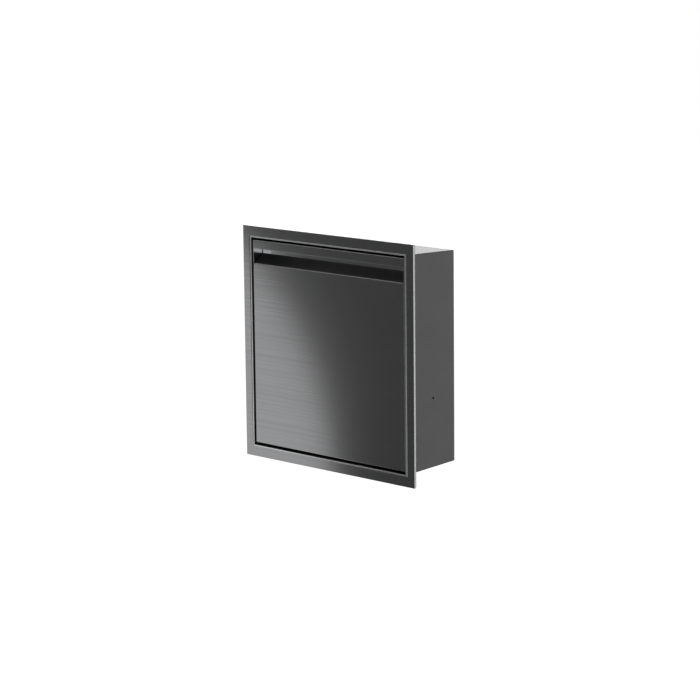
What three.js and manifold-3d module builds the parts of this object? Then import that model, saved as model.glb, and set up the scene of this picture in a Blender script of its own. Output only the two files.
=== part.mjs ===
// Slim built-in trash compactor: a brushed-steel trim frame, a drawer with a full-width finger recess,
// a tapered sheet-steel cabinet, and a screw-driven ram that presses down into the drawer's bin.
//
// Millimetres, +Z up. Inside the unit group x runs from the middle, y from the trim's front plane
// towards the back, and z from the trim's lower edge. The group is then set so that the origin is the
// middle of the unit's underside.

import * as THREE from 'three';
import { mergeVertices } from 'three/addons/utils/BufferGeometryUtils.js';
import Module from 'manifold-3d';

const wasm = await Module();
wasm.setup();

// ---------------------------------------------------------------- driving dimensions

const WIDTH = 457;
const HEIGHT = 461;
const DEPTH = 141.5;
const GAP = 0.3;
const SHEET = 1.2;
const ROUND = 24;
const SMALL_ROUND = 16;

// Clearances: round a bore, round a screw's or shaft's hole in sheet, and how far a cutting tool or a
// joined solid passes the face that it crosses.
const BORE_GAP = 0.4;
const SHAFT_GAP = 0.5;
const HOLE_GAP = 1;
const THROUGH = 1;
const OVERLAP = 0.5;
const MERGE_DISTANCE = 1e-4;

// Trim frame: a folded sheet with a shallow lip round the opening and a hem along its outer edge.
const TRIM_DEPTH = 6.8;
const TRIM_SKIN = 1.5;
const OPENING_INSET = 22.7;
const LIP_WIDTH = 3.2;
const LIP_DROP = 0.45;
const LIP_EASE = 0.3;
const EDGE_EASE = 0.8;
const SEAM_Y = 3.1;
const SEAM_STEP = 0.4;
const HEM_WIDTH = 9;

// Cabinet shell: inset of its walls from the trim's edge, and how far they close in at the back.
const FLANGE_INSET = 10;
const BOX_INSET = 21.75;
const TAPER = 5;
const FLANGE_Y = TRIM_SKIN + GAP;
const REAR_FLANGE_INSET = 40;
const REAR_FLANGE_Y = 138.3;
const SIDE_HOLE = { y: 79.5, z: 158.5, radius: 2.1 };

// Drawer front.
const FRONT_Y = 2.2;
const FRONT_HALF = 203;
const PANEL_BOTTOM = 28.2;
const PANEL_TOP = 386.7;
const PANEL_DEPTH = 16;
const BAND_BOTTOM = 416.2;
const BAND_TOP = 433.3;
const BAND_SKIN = 1.5;
const RECESS_BACK = 26.8;
const RECESS_STEP = 404.6;
const RECESS_CEILING = 430.5;
const RECESS_FRONT = FRONT_Y + 0.2;
const RECESS_EDGE = 0.5;
const RECESS_FOOT_WIDTH = 1.6;
const RECESS_FOLD_DROP = 0.9;
const DRAWER_PLATE_Y = 18.5;

// Bin and its cradle.
const CRADLE = { half: 186, front: 20, back: 130, floor: 34, sheet: 1.5, side: 75, front_top: 90 };
const BIN = { half: 174, front: 23, back: 127, floor: 35.8, top: 238, wall: 2, rim: 1.8, rim_height: 3 };

// Telescopic runners, from the cabinet wall inwards: outer, middle, inner.
const RUNNER_Z = 56;
const RUNNER_FRONT = 33;
const RUNNERS = {
  outer: { web: 199.2, reach: 192.5, half_height: 17.5, back: 134 },
  middle: { web: 197.7, reach: 190.5, half_height: 15.9, back: 131 },
  inner: { web: 196.2, reach: CRADLE.half + GAP, half_height: 14.3, back: 129 },
};

// Lead screws and ram.
const SCREW = { x: 188, y: 75, radius: 6, bottom: 212, top: 420, journal: 4, shoulder: 404 };
const PLATE = { half: 168, front: 30, back: 120, bottom: 250.3, top: 256.3 };
const WIPER = { half: 171, front: 27, back: 123, bottom: 246, top: 250, width: 14 };
const SKIRT = { half: 162, front: 36, back: 114, top: 300, wall: 1.5 };
const COLUMN = { x: 120, half: 8, wall: 2, top: 361.7 };
const CROSSBAR = { half: 198, front: 67, back: 83, bottom: 362, top: 380, wall: 3 };
const NUT = { radius: 9.5, flange: 10.2, bottom: 343, flange_bottom: 357.7, top: 361.7 };
const COLLAR = { radius: 9, bottom: 394.4, top: 398 };
const SCREW_BEARING = { radius: 11, top: 394 };
const FOOT = { inner: 181.5, outer: 202, front: 63, back: 87, bottom: 211, top: 221 };
const BUMPER = { x: 184, radius: 5, lift: 4, gap: 0.4 };

// Drive: deck, belt and gears.
const DECK = { half: 200, front: 34, back: 136, bottom: 386, top: 388, flange: 374, flange_back: 130 };
const DRIVE_AXIS = { x: 60, y: 110 };
const DRIVE_SHAFT_BOTTOM = 380;
const SHAFT_BEARING = { radius: 9, top: 391.5 };
const GEAR = { teeth: 40, bottom: 392, top: 401, bore: 4.3 };
const PINION = { teeth: 12, bottom: 391, top: 402, bore: 3.3 };
const MODULE = 1.25;
const TOOTH = { root_depth: 1.35, root_width: 2.2, tip_height: 0.95, tip_width: 0.8 };
const MOTOR_AXIS = { x: DRIVE_AXIS.x + (MODULE * (GEAR.teeth + PINION.teeth)) / 2, y: DRIVE_AXIS.y };
const MOTOR = { radius: 22, bottom: 340, top: 385.7, boss: 9, boss_height: 4, shoulder: 2 };
const MOTOR_SHAFT = { radius: 3, top: 403.5 };
const PULLEY = { radius: 10, flange: 12.5, bottom: 405, top: 417, rim: 1.2 };
const BELT = { thickness: 1.5, margin: 0.4 };

// Latch and interlock.
const LATCH = { x: -60, y: 44, radius: 3, bottom: 376, top: 420, head: 5, head_bottom: 416.5, point: 0.8 };
const SOLENOID = { half: 18, front: 35, back: 57, top: 404 };
const STRIKER = { half: 15, leg_bottom: 350, bottom: 366.5, top: 368, back: 54, hole: 4.5 };
const SWITCH = { x: -12, half: 9, front: 36, back: 52, top: 416, bore_back: 46 };
const PLUNGER = { radius: 2, z: 410, front: 28.8, back: 40 };

// Control box, mains inlet and back panel.
const CONTROL_BOX = { left: -160, right: -90, front: 96, back: 134, top: 403 };
const INLET = { x: -135, z: 332, half_width: 14, half_height: 10, front: 119, floor: 5, wall: 3, ear: 4 };
const PIN = { spacing: 6, half: 1, height: 4, inset: 4, earth_lift: 1.5 };
const BACK_PANEL = { half: 200.2, bottom: 28.3, top: 432.7, front: 138.6, back: 139.8 };
const VENTS = { count: 12, first: 36, pitch: 9, width: 4, bottom: 340, top: 385 };
const BACK_SCREW = { x: 194.5, low: 60, high: 400, radius: 2, tip: 134 };
const SCREW_HEAD = { radius: 4, side: 0.7, ease: 0.8 };

// ---------------------------------------------------------------- finishes

const FINISHES = {
  brushed_steel: { color: 0x6f7276, metalness: 0.9, roughness: 0.38 },
  coated_sheet: { color: 0x8f9194, metalness: 0.6, roughness: 0.5 },
  zinc: { color: 0xb4b7ba, metalness: 0.85, roughness: 0.42 },
  steel: { color: 0x9a9c9f, metalness: 0.9, roughness: 0.32 },
  cast: { color: 0x4a4c4f, metalness: 0.5, roughness: 0.6 },
  bin_paint: { color: 0x55585c, metalness: 0.2, roughness: 0.55 },
  brass: { color: 0xb08d4a, metalness: 0.9, roughness: 0.35 },
  rubber: { color: 0x1b1b1c, metalness: 0, roughness: 0.85 },
  foam: { color: 0x3a3b3d, metalness: 0, roughness: 0.95 },
  plastic: { color: 0x232425, metalness: 0, roughness: 0.5 },
};

// ---------------------------------------------------------------- shape helpers

/** Turns a closed geometry's faces outwards. */
function outward(geometry) {
  const source = geometry.index ? geometry.toNonIndexed() : geometry;
  const position = source.attributes.position;
  const [a, b, c] = [new THREE.Vector3(), new THREE.Vector3(), new THREE.Vector3()];
  let volume = 0;
  for (let i = 0; i < position.count; i += 3) {
    a.fromBufferAttribute(position, i);
    b.fromBufferAttribute(position, i + 1);
    c.fromBufferAttribute(position, i + 2);
    volume += a.dot(b.cross(c));
  }
  const bare = new THREE.BufferGeometry();
  bare.setAttribute('position', position);
  const merged = mergeVertices(bare, MERGE_DISTANCE);
  if (volume < 0) {
    merged.index.array.reverse();
  }
  return merged;
}

/** Box between two corners. */
function box(x0, x1, y0, y1, z0, z1) {
  const geometry = new THREE.BoxGeometry(x1 - x0, y1 - y0, z1 - z0);
  geometry.translate((x0 + x1) / 2, (y0 + y1) / 2, (z0 + z1) / 2);
  return geometry;
}

/** Upright cylinder on the point (x, y). */
function upright(radius, x, y, z0, z1) {
  const geometry = new THREE.CylinderGeometry(radius, radius, z1 - z0, ROUND);
  geometry.rotateX(Math.PI / 2);
  geometry.translate(x, y, (z0 + z1) / 2);
  return geometry;
}

/** Cylinder along X or Y through the point (x, y, z), from one end to the other along its own axis. */
function lying(axis, radius, start, end, [x, y, z]) {
  const geometry = new THREE.CylinderGeometry(radius, radius, end - start, ROUND);
  if (axis === 'x') {
    geometry.rotateZ(Math.PI / 2);
    geometry.translate((start + end) / 2, y, z);
  } else {
    geometry.translate(x, (start + end) / 2, z);
  }
  return geometry;
}

/** Solid of revolution about an upright axis at (x, y), from [radius, z] points. */
function turned(profile, x, y) {
  const points = profile.map(([radius, z]) => new THREE.Vector2(radius, z));
  const geometry = new THREE.LatheGeometry(points, ROUND);
  geometry.rotateX(Math.PI / 2);
  geometry.translate(x, y, 0);
  return outward(geometry);
}

/** Upright round tube. */
function sleeve(bore, radius, z0, z1, x, y) {
  return turned([[bore, z0], [radius, z0], [radius, z1], [bore, z1], [bore, z0]], x, y);
}

/** Straight piece along X from a section of [y, z] points. */
function alongX(section, x0, x1) {
  const shape = new THREE.Shape(section.map(([y, z]) => new THREE.Vector2(y, z)));
  const geometry = new THREE.ExtrudeGeometry(shape, { depth: x1 - x0, bevelEnabled: false });
  const basis = new THREE.Matrix4().makeBasis(
    new THREE.Vector3(0, 1, 0),
    new THREE.Vector3(0, 0, 1),
    new THREE.Vector3(1, 0, 0),
  );
  geometry.applyMatrix4(basis);
  geometry.translate(x0, 0, 0);
  return outward(geometry);
}

/** Straight piece along Y from a section of [x, z] points. */
function alongY(section, y0, y1) {
  const shape = new THREE.Shape(section.map(([x, z]) => new THREE.Vector2(x, z)));
  const geometry = new THREE.ExtrudeGeometry(shape, { depth: y1 - y0, bevelEnabled: false });
  geometry.rotateX(Math.PI / 2);
  geometry.translate(0, y1, 0);
  return outward(geometry);
}

/** Upright piece from a plan outline, a THREE.Shape in x and y. */
function alongZ(shape, z0, z1) {
  const geometry = new THREE.ExtrudeGeometry(shape, {
    depth: z1 - z0,
    bevelEnabled: false,
    curveSegments: ROUND,
  });
  geometry.translate(0, 0, z0);
  return outward(geometry);
}

/** Ring with mitred corners: a section of [inset, y] points carried round the trim's rectangle. */
function mitredRing(section) {
  const positions = [];
  for (const [inset, y] of section) {
    const x = WIDTH / 2 - inset;
    positions.push(-x, y, inset, x, y, inset, x, y, HEIGHT - inset, -x, y, HEIGHT - inset);
  }
  const index = [];
  for (let i = 0; i < section.length; i += 1) {
    const next = (i + 1) % section.length;
    for (let corner = 0; corner < 4; corner += 1) {
      const after = (corner + 1) % 4;
      const [a, b] = [4 * i + corner, 4 * i + after];
      const [c, d] = [4 * next + after, 4 * next + corner];
      index.push(a, b, c, a, c, d);
    }
  }
  const geometry = new THREE.BufferGeometry();
  geometry.setAttribute('position', new THREE.Float32BufferAttribute(positions, 3));
  geometry.setIndex(index);
  return outward(geometry);
}

/** Upright rectangular tube. */
function tube(half_x, y0, y1, z0, z1, wall, x = 0) {
  const outside = box(x - half_x, x + half_x, y0, y1, z0, z1);
  const [low, high] = [z0 - THROUGH, z1 + THROUGH];
  return cut(outside, box(x - half_x + wall, x + half_x - wall, y0 + wall, y1 - wall, low, high));
}

function toSolid(geometry) {
  const merged = outward(geometry);
  return new wasm.Manifold(
    new wasm.Mesh({
      numProp: 3,
      vertProperties: Float32Array.from(merged.attributes.position.array),
      triVerts: Uint32Array.from(merged.index.array),
    }),
  );
}

function toGeometry(solid) {
  const mesh = solid.getMesh();
  const geometry = new THREE.BufferGeometry();
  geometry.setAttribute('position', new THREE.BufferAttribute(mesh.vertProperties, 3));
  geometry.setIndex(new THREE.BufferAttribute(mesh.triVerts, 1));
  return geometry;
}

function cut(body, ...tools) {
  return toGeometry(tools.reduce((solid, tool) => solid.subtract(toSolid(tool)), toSolid(body)));
}

function join(...bodies) {
  return toGeometry(bodies.slice(1).reduce((solid, body) => solid.add(toSolid(body)), toSolid(bodies[0])));
}

/** Inset of the shell's outer face from the trim's edge at a depth y. */
function wallInset(y) {
  return BOX_INSET + (TAPER * (y - FLANGE_Y)) / (DEPTH - FLANGE_Y);
}

// ---------------------------------------------------------------- scene graph

const unit = new THREE.Group();
unit.position.y = -DEPTH / 2;

function add(name, geometry, finish) {
  const mesh = new THREE.Mesh(geometry, new THREE.MeshStandardMaterial(FINISHES[finish]));
  mesh.name = name;
  unit.add(mesh);
}

const SIDES = [
  ['left', -1],
  ['right', 1],
];

// ---------------------------------------------------------------- cabinet

function makeTrimFrame() {
  const lip = OPENING_INSET - LIP_WIDTH;
  return mitredRing([
    [lip - LIP_WIDTH, 0],
    [EDGE_EASE, 0],
    [0, EDGE_EASE],
    [0, SEAM_Y],
    [SEAM_STEP, SEAM_Y + SEAM_STEP],
    [SEAM_STEP, TRIM_DEPTH - SEAM_STEP],
    [EDGE_EASE, TRIM_DEPTH],
    [HEM_WIDTH, TRIM_DEPTH],
    [HEM_WIDTH, TRIM_DEPTH - SHEET],
    [TRIM_SKIN, TRIM_DEPTH - SHEET],
    [TRIM_SKIN, TRIM_SKIN],
    [OPENING_INSET, TRIM_SKIN],
    [OPENING_INSET, LIP_DROP + LIP_EASE],
    [OPENING_INSET - 2 * LIP_EASE, LIP_DROP],
    [lip, LIP_DROP],
  ]);
}

function makeCabinetShell() {
  const inner = (y) => wallInset(y) + SHEET;
  const shell = mitredRing([
    [FLANGE_INSET, FLANGE_Y],
    [FLANGE_INSET, FLANGE_Y + SHEET],
    [BOX_INSET, FLANGE_Y + SHEET],
    [wallInset(DEPTH), DEPTH],
    [inner(DEPTH), DEPTH],
    [inner(REAR_FLANGE_Y), REAR_FLANGE_Y],
    [REAR_FLANGE_INSET, REAR_FLANGE_Y],
    [REAR_FLANGE_INSET, REAR_FLANGE_Y - SHEET],
    [inner(REAR_FLANGE_Y - SHEET), REAR_FLANGE_Y - SHEET],
    [inner(FLANGE_Y), FLANGE_Y],
  ]);
  const across = lying('x', SIDE_HOLE.radius, -WIDTH / 2, WIDTH / 2, [0, SIDE_HOLE.y, SIDE_HOLE.z]);
  return cut(shell, across, ...backScrewPlaces().map(screwHole));
}

function backScrewPlaces() {
  return SIDES.flatMap(([, side]) => [BACK_SCREW.low, BACK_SCREW.high].map((z) => [side * BACK_SCREW.x, z]));
}

function screwHole([x, z]) {
  return lying('y', BACK_SCREW.radius + GAP, BACK_SCREW.tip, DEPTH + THROUGH, [x, 0, z]);
}

function makeBackPanel() {
  const plate = box(
    -BACK_PANEL.half,
    BACK_PANEL.half,
    BACK_PANEL.front,
    BACK_PANEL.back,
    BACK_PANEL.bottom,
    BACK_PANEL.top,
  );
  const [y0, y1] = [BACK_PANEL.front - THROUGH, BACK_PANEL.back + THROUGH];
  const slots = [];
  for (let i = 0; i < VENTS.count; i += 1) {
    const x = VENTS.first + VENTS.pitch * i;
    slots.push(box(x, x + VENTS.width, y0, y1, VENTS.bottom, VENTS.top));
  }
  const inletHole = box(
    INLET.x - INLET.half_width - GAP,
    INLET.x + INLET.half_width + GAP,
    y0,
    y1,
    INLET.z - INLET.half_height - GAP,
    INLET.z + INLET.half_height + GAP,
  );
  return cut(plate, inletHole, ...slots, ...backScrewPlaces().map(screwHole));
}

function makeBackScrew([x, z]) {
  const head = BACK_PANEL.back + GAP;
  const profile = [
    [0, BACK_SCREW.tip],
    [BACK_SCREW.radius, BACK_SCREW.tip],
    [BACK_SCREW.radius, head],
    [SCREW_HEAD.radius, head],
    [SCREW_HEAD.radius, head + SCREW_HEAD.side],
    [SCREW_HEAD.radius - SCREW_HEAD.ease, head + SHEET],
    [0, head + SHEET],
  ];
  const points = profile.map(([radius, y]) => new THREE.Vector2(radius, y));
  const geometry = new THREE.LatheGeometry(points, SMALL_ROUND);
  geometry.translate(x, 0, z);
  return outward(geometry);
}

function makePowerInlet() {
  const { x, z, half_width: w, half_height: h, front, floor, wall, ear } = INLET;
  const face = BACK_PANEL.back + GAP;
  const rear = face + SHEET + THROUGH;
  const body = join(
    box(x - w, x + w, front, face + OVERLAP, z - h, z + h),
    box(x - w - ear, x + w + ear, face, face + SHEET, z - h - wall, z + h + wall),
  );
  const socket = box(x - w + wall, x + w - wall, front + floor, rear, z - h + wall, z + h - wall);
  const pins = [-1, 0, 1].map((place) => {
    const middle = x + place * PIN.spacing;
    const foot = z + (place === 0 ? PIN.earth_lift : 0);
    const [y0, y1] = [front + PIN.inset, face - PIN.inset];
    return box(middle - PIN.half, middle + PIN.half, y0, y1, foot, foot + PIN.height);
  });
  return join(cut(body, socket), ...pins);
}

function makeDeck() {
  const plate = box(-DECK.half, DECK.half, DECK.front, DECK.back, DECK.bottom, DECK.top);
  const flanges = SIDES.map(([, side]) => {
    const [x0, x1] = [side * DECK.half, side * (DECK.half - SHEET)].sort((a, b) => a - b);
    return box(x0, x1, DECK.front, DECK.flange_back, DECK.flange, DECK.bottom + THROUGH);
  });
  const hole = (radius, x, y) => upright(radius, x, y, DECK.bottom - THROUGH, DECK.top + THROUGH);
  return cut(
    join(plate, ...flanges),
    hole(SCREW.radius + HOLE_GAP, -SCREW.x, SCREW.y),
    hole(SCREW.radius + HOLE_GAP, SCREW.x, SCREW.y),
    hole(SCREW.journal + SHAFT_GAP, DRIVE_AXIS.x, DRIVE_AXIS.y),
    hole(MOTOR_SHAFT.radius + HOLE_GAP, MOTOR_AXIS.x, MOTOR_AXIS.y),
    hole(LATCH.radius + SHAFT_GAP, LATCH.x, LATCH.y),
  );
}

function makeBearing({ radius, top }, shaft, x, y) {
  return sleeve(shaft + BORE_GAP, radius, DECK.top + GAP, top, x, y);
}

function makeBumper(side) {
  const [front, back] = [CRADLE.back + BUMPER.gap, REAR_FLANGE_Y - SHEET - GAP];
  return lying('y', BUMPER.radius, front, back, [side * BUMPER.x, 0, RUNNER_Z + BUMPER.lift]);
}

function makeControlBox() {
  const { left, right, front, back, top } = CONTROL_BOX;
  return box(left, right, front, back, DECK.top + GAP, top);
}

function makeFootBearing(side) {
  const [x0, x1] = [side * FOOT.inner, side * FOOT.outer].sort((a, b) => a - b);
  const block = box(x0, x1, FOOT.front, FOOT.back, FOOT.bottom, FOOT.top);
  const [low, high] = [FOOT.bottom - THROUGH, FOOT.top + THROUGH];
  return cut(block, upright(SCREW.radius + BORE_GAP, side * SCREW.x, SCREW.y, low, high));
}

function makeRunner({ web, reach, half_height: h, back }, side) {
  const [low, high] = [RUNNER_Z - h, RUNNER_Z + h];
  const section = [
    [reach, low],
    [web, low],
    [web, high],
    [reach, high],
    [reach, high - SHEET],
    [web - SHEET, high - SHEET],
    [web - SHEET, low + SHEET],
    [reach, low + SHEET],
  ];
  return alongY(section.map(([x, z]) => [side * x, z]), RUNNER_FRONT, back);
}

function makeMotor() {
  const { radius, bottom, top, boss, boss_height: height, shoulder } = MOTOR;
  const profile = [
    [0, bottom],
    [boss, bottom],
    [boss, bottom + height],
    [radius - shoulder, bottom + height],
    [radius, bottom + height + shoulder],
    [radius, top - height - shoulder],
    [radius - shoulder, top - height],
    [boss, top - height],
    [boss, top],
    [0, top],
  ];
  return turned(profile, MOTOR_AXIS.x, MOTOR_AXIS.y);
}

/** Belt loop round the two screw pulleys and the drive pulley, all of one radius. */
function makeBelt() {
  const centres = [
    new THREE.Vector2(-SCREW.x, SCREW.y),
    new THREE.Vector2(SCREW.x, SCREW.y),
    new THREE.Vector2(DRIVE_AXIS.x, DRIVE_AXIS.y),
  ];
  const loop = (radius, Path) => {
    const path = new Path();
    centres.forEach((centre, i) => {
      const before = centres[(i + 2) % 3];
      const after = centres[(i + 1) % 3];
      const start = centre.clone().sub(before).angle() - Math.PI / 2;
      const end = after.clone().sub(centre).angle() - Math.PI / 2;
      path.absarc(centre.x, centre.y, radius, start, end, false);
    });
    path.closePath();
    return path;
  };
  const inner = PULLEY.radius + GAP;
  const shape = loop(inner + BELT.thickness, THREE.Shape);
  shape.holes.push(loop(inner, THREE.Path));
  const margin = PULLEY.rim + BELT.margin;
  return alongZ(shape, PULLEY.bottom + margin, PULLEY.top - margin);
}

function makeSolenoid() {
  const { half, front, back, top } = SOLENOID;
  const body = box(LATCH.x - half, LATCH.x + half, front, back, DECK.top + GAP, top);
  return cut(body, upright(LATCH.radius + BORE_GAP, LATCH.x, LATCH.y, DECK.top - THROUGH, top + THROUGH));
}

function makeInterlockSwitch() {
  const { x, half, front, back, top, bore_back: boreBack } = SWITCH;
  const body = box(x - half, x + half, front, back, DECK.top + GAP, top);
  return cut(body, lying('y', PLUNGER.radius + BORE_GAP, front - THROUGH, boreBack, [x, 0, PLUNGER.z]));
}

add('trim_frame', makeTrimFrame(), 'brushed_steel');
add('cabinet_shell', makeCabinetShell(), 'coated_sheet');
add('back_panel', makeBackPanel(), 'coated_sheet');
backScrewPlaces().forEach((place, i) => add(`back_screw_${i + 1}`, makeBackScrew(place), 'steel'));
add('power_inlet', makePowerInlet(), 'plastic');
add('drive_deck', makeDeck(), 'zinc');
for (const [name, side] of SIDES) {
  add(`screw_bearing_${name}`, makeBearing(SCREW_BEARING, SCREW.radius, side * SCREW.x, SCREW.y), 'steel');
  add(`foot_bearing_${name}`, makeFootBearing(side), 'cast');
  add(`runner_outer_${name}`, makeRunner(RUNNERS.outer, side), 'zinc');
  add(`drawer_bumper_${name}`, makeBumper(side), 'rubber');
}
add('shaft_bearing', makeBearing(SHAFT_BEARING, SCREW.journal, DRIVE_AXIS.x, DRIVE_AXIS.y), 'steel');
add('motor', makeMotor(), 'cast');
add('drive_belt', makeBelt(), 'rubber');
add('latch_solenoid', makeSolenoid(), 'plastic');
add('interlock_switch', makeInterlockSwitch(), 'plastic');
add('control_box', makeControlBox(), 'plastic');

// ---------------------------------------------------------------- drawer

function makeFrontPanel() {
  const back = FRONT_Y + PANEL_DEPTH;
  const outside = box(-FRONT_HALF, FRONT_HALF, FRONT_Y, back, PANEL_BOTTOM, PANEL_TOP);
  const hollow = box(
    -FRONT_HALF + SHEET,
    FRONT_HALF - SHEET,
    FRONT_Y + SHEET,
    back + THROUGH,
    PANEL_BOTTOM + SHEET,
    PANEL_TOP - SHEET,
  );
  return cut(outside, hollow);
}

function makeSoundPad() {
  const margin = SHEET + GAP;
  return box(
    -FRONT_HALF + margin,
    FRONT_HALF - margin,
    FRONT_Y + margin,
    FRONT_Y + PANEL_DEPTH - GAP,
    PANEL_BOTTOM + margin,
    PANEL_TOP - margin,
  );
}

function makeUpperBand() {
  const back = RECESS_BACK + SHEET;
  const section = [
    [FRONT_Y, BAND_BOTTOM],
    [FRONT_Y + BAND_SKIN, BAND_BOTTOM],
    [FRONT_Y + BAND_SKIN, BAND_TOP - SHEET],
    [back, BAND_TOP - SHEET],
    [back, BAND_TOP],
    [FRONT_Y, BAND_TOP],
  ];
  return alongX(section, -FRONT_HALF, FRONT_HALF);
}

/** Folded channel: a floor that climbs from the panel's top edge, a back wall and a ceiling. */
function makeGripChannel() {
  const foot = PANEL_TOP + GAP;
  const back = RECESS_BACK + SHEET;
  const behindBand = FRONT_Y + BAND_SKIN + GAP;
  const section = [
    [RECESS_FRONT, foot],
    [RECESS_FRONT, foot + RECESS_EDGE],
    [RECESS_BACK, RECESS_STEP],
    [RECESS_BACK, RECESS_CEILING],
    [behindBand, RECESS_CEILING],
    [behindBand, RECESS_CEILING + SHEET],
    [back, RECESS_CEILING + SHEET],
    [back, RECESS_STEP - RECESS_FOLD_DROP],
    [RECESS_FRONT + RECESS_FOOT_WIDTH, foot],
  ];
  const half = FRONT_HALF - SHEET - GAP;
  return alongX(section, -half, half);
}

function makeGripEndCap(side) {
  const foot = PANEL_TOP + GAP;
  const back = RECESS_BACK + SHEET;
  const behindBand = FRONT_Y + BAND_SKIN + GAP;
  const section = [
    [RECESS_FRONT, foot],
    [back, foot],
    [back, RECESS_CEILING + SHEET],
    [behindBand, RECESS_CEILING + SHEET],
    [behindBand, BAND_BOTTOM - GAP],
    [RECESS_FRONT, BAND_BOTTOM - GAP],
  ];
  const [x0, x1] = [side * FRONT_HALF, side * (FRONT_HALF - SHEET)].sort((a, b) => a - b);
  return alongX(section, x0, x1);
}

function makeCradle() {
  const { half, front, back, floor, sheet, side, front_top: frontTop } = CRADLE;
  return join(
    box(-half, half, front, back, floor, floor + sheet),
    box(-half, half, front, front + sheet, floor, frontTop),
    box(-half, -half + sheet, front, back, floor, side),
    box(half - sheet, half, front, back, floor, side),
  );
}

function makeBin() {
  const { half, front, back, floor, top, wall, rim, rim_height: rimHeight } = BIN;
  const outside = join(
    box(-half, half, front, back, floor, top),
    box(-half - rim, half + rim, front - rim, back + rim, top - rimHeight, top),
  );
  const inside = box(-half + wall, half - wall, front + wall, back - wall, floor + wall, top + THROUGH);
  return cut(outside, inside);
}

function makeStriker() {
  const { half, leg_bottom: legBottom, bottom, top, back, hole } = STRIKER;
  const front = DRAWER_PLATE_Y + SHEET + GAP;
  const bracket = join(
    box(LATCH.x - half, LATCH.x + half, front, front + SHEET, legBottom, top),
    box(LATCH.x - half, LATCH.x + half, front, back, bottom, top),
  );
  return cut(bracket, upright(hole, LATCH.x, LATCH.y, bottom - THROUGH, top + THROUGH));
}

const plateHalf = FRONT_HALF - SHEET - GAP;
const drawerPlate = box(
  -plateHalf,
  plateHalf,
  DRAWER_PLATE_Y,
  DRAWER_PLATE_Y + SHEET,
  PANEL_BOTTOM + SHEET,
  PANEL_TOP - SHEET,
);

add('drawer_front_panel', makeFrontPanel(), 'brushed_steel');
add('drawer_upper_band', makeUpperBand(), 'brushed_steel');
add('grip_channel', makeGripChannel(), 'brushed_steel');
add('sound_pad', makeSoundPad(), 'foam');
add('drawer_back_plate', drawerPlate, 'zinc');
add('bin_cradle', makeCradle(), 'zinc');
add('compactor_bin', makeBin(), 'bin_paint');
add('latch_striker', makeStriker(), 'zinc');
for (const [name, side] of SIDES) {
  add(`grip_end_cap_${name}`, makeGripEndCap(side), 'brushed_steel');
  add(`runner_inner_${name}`, makeRunner(RUNNERS.inner, side), 'zinc');
  add(`runner_middle_${name}`, makeRunner(RUNNERS.middle, side), 'zinc');
}

// ---------------------------------------------------------------- ram

function makePressurePlate() {
  return box(-PLATE.half, PLATE.half, PLATE.front, PLATE.back, PLATE.bottom, PLATE.top);
}

function makeWiper() {
  return tube(WIPER.half, WIPER.front, WIPER.back, WIPER.bottom, WIPER.top, WIPER.width);
}

function makeCrossbar() {
  const { half, front, back, bottom, top, wall } = CROSSBAR;
  const bar = box(-half, half, front, back, bottom, top);
  const [low, high] = [bottom - THROUGH, top + THROUGH];
  const groove = box(-half - THROUGH, half + THROUGH, front + wall, back - wall, low, top - wall);
  const holes = SIDES.map(([, side]) => {
    return upright(SCREW.radius + HOLE_GAP, side * SCREW.x, SCREW.y, low, high);
  });
  return cut(bar, groove, ...holes);
}

function makeNut(side) {
  const bore = SCREW.radius + GAP;
  const profile = [
    [bore, NUT.bottom],
    [NUT.radius, NUT.bottom],
    [NUT.radius, NUT.flange_bottom],
    [NUT.flange, NUT.flange_bottom],
    [NUT.flange, NUT.top],
    [bore, NUT.top],
    [bore, NUT.bottom],
  ];
  return turned(profile, side * SCREW.x, SCREW.y);
}

const RAM_FOOT = PLATE.top + GAP;
add('pressure_plate', makePressurePlate(), 'zinc');
add('ram_wiper', makeWiper(), 'rubber');
add('ram_skirt', tube(SKIRT.half, SKIRT.front, SKIRT.back, RAM_FOOT, SKIRT.top, SKIRT.wall), 'zinc');
add('ram_crossbar', makeCrossbar(), 'cast');
for (const [name, side] of SIDES) {
  const y0 = SCREW.y - COLUMN.half;
  const y1 = SCREW.y + COLUMN.half;
  const column = tube(COLUMN.half, y0, y1, RAM_FOOT, COLUMN.top, COLUMN.wall, side * COLUMN.x);
  add(`ram_column_${name}`, column, 'cast');
  add(`power_nut_${name}`, makeNut(side), 'brass');
}

// ---------------------------------------------------------------- drive train

function makeLeadScrew(side) {
  const profile = [
    [0, SCREW.bottom],
    [SCREW.radius, SCREW.bottom],
    [SCREW.radius, COLLAR.bottom],
    [COLLAR.radius, COLLAR.bottom],
    [COLLAR.radius, COLLAR.top],
    [SCREW.radius, COLLAR.top],
    [SCREW.radius, SCREW.shoulder],
    [SCREW.journal, SCREW.shoulder],
    [SCREW.journal, SCREW.top],
    [0, SCREW.top],
  ];
  return turned(profile, side * SCREW.x, SCREW.y);
}

function makePulley(x, y) {
  const { radius, flange, bottom, top, rim } = PULLEY;
  const bore = SCREW.journal + GAP;
  const profile = [
    [bore, bottom],
    [flange, bottom],
    [flange, bottom + rim],
    [radius, bottom + rim],
    [radius, top - rim],
    [flange, top - rim],
    [flange, top],
    [bore, top],
    [bore, bottom],
  ];
  return turned(profile, x, y);
}

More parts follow.
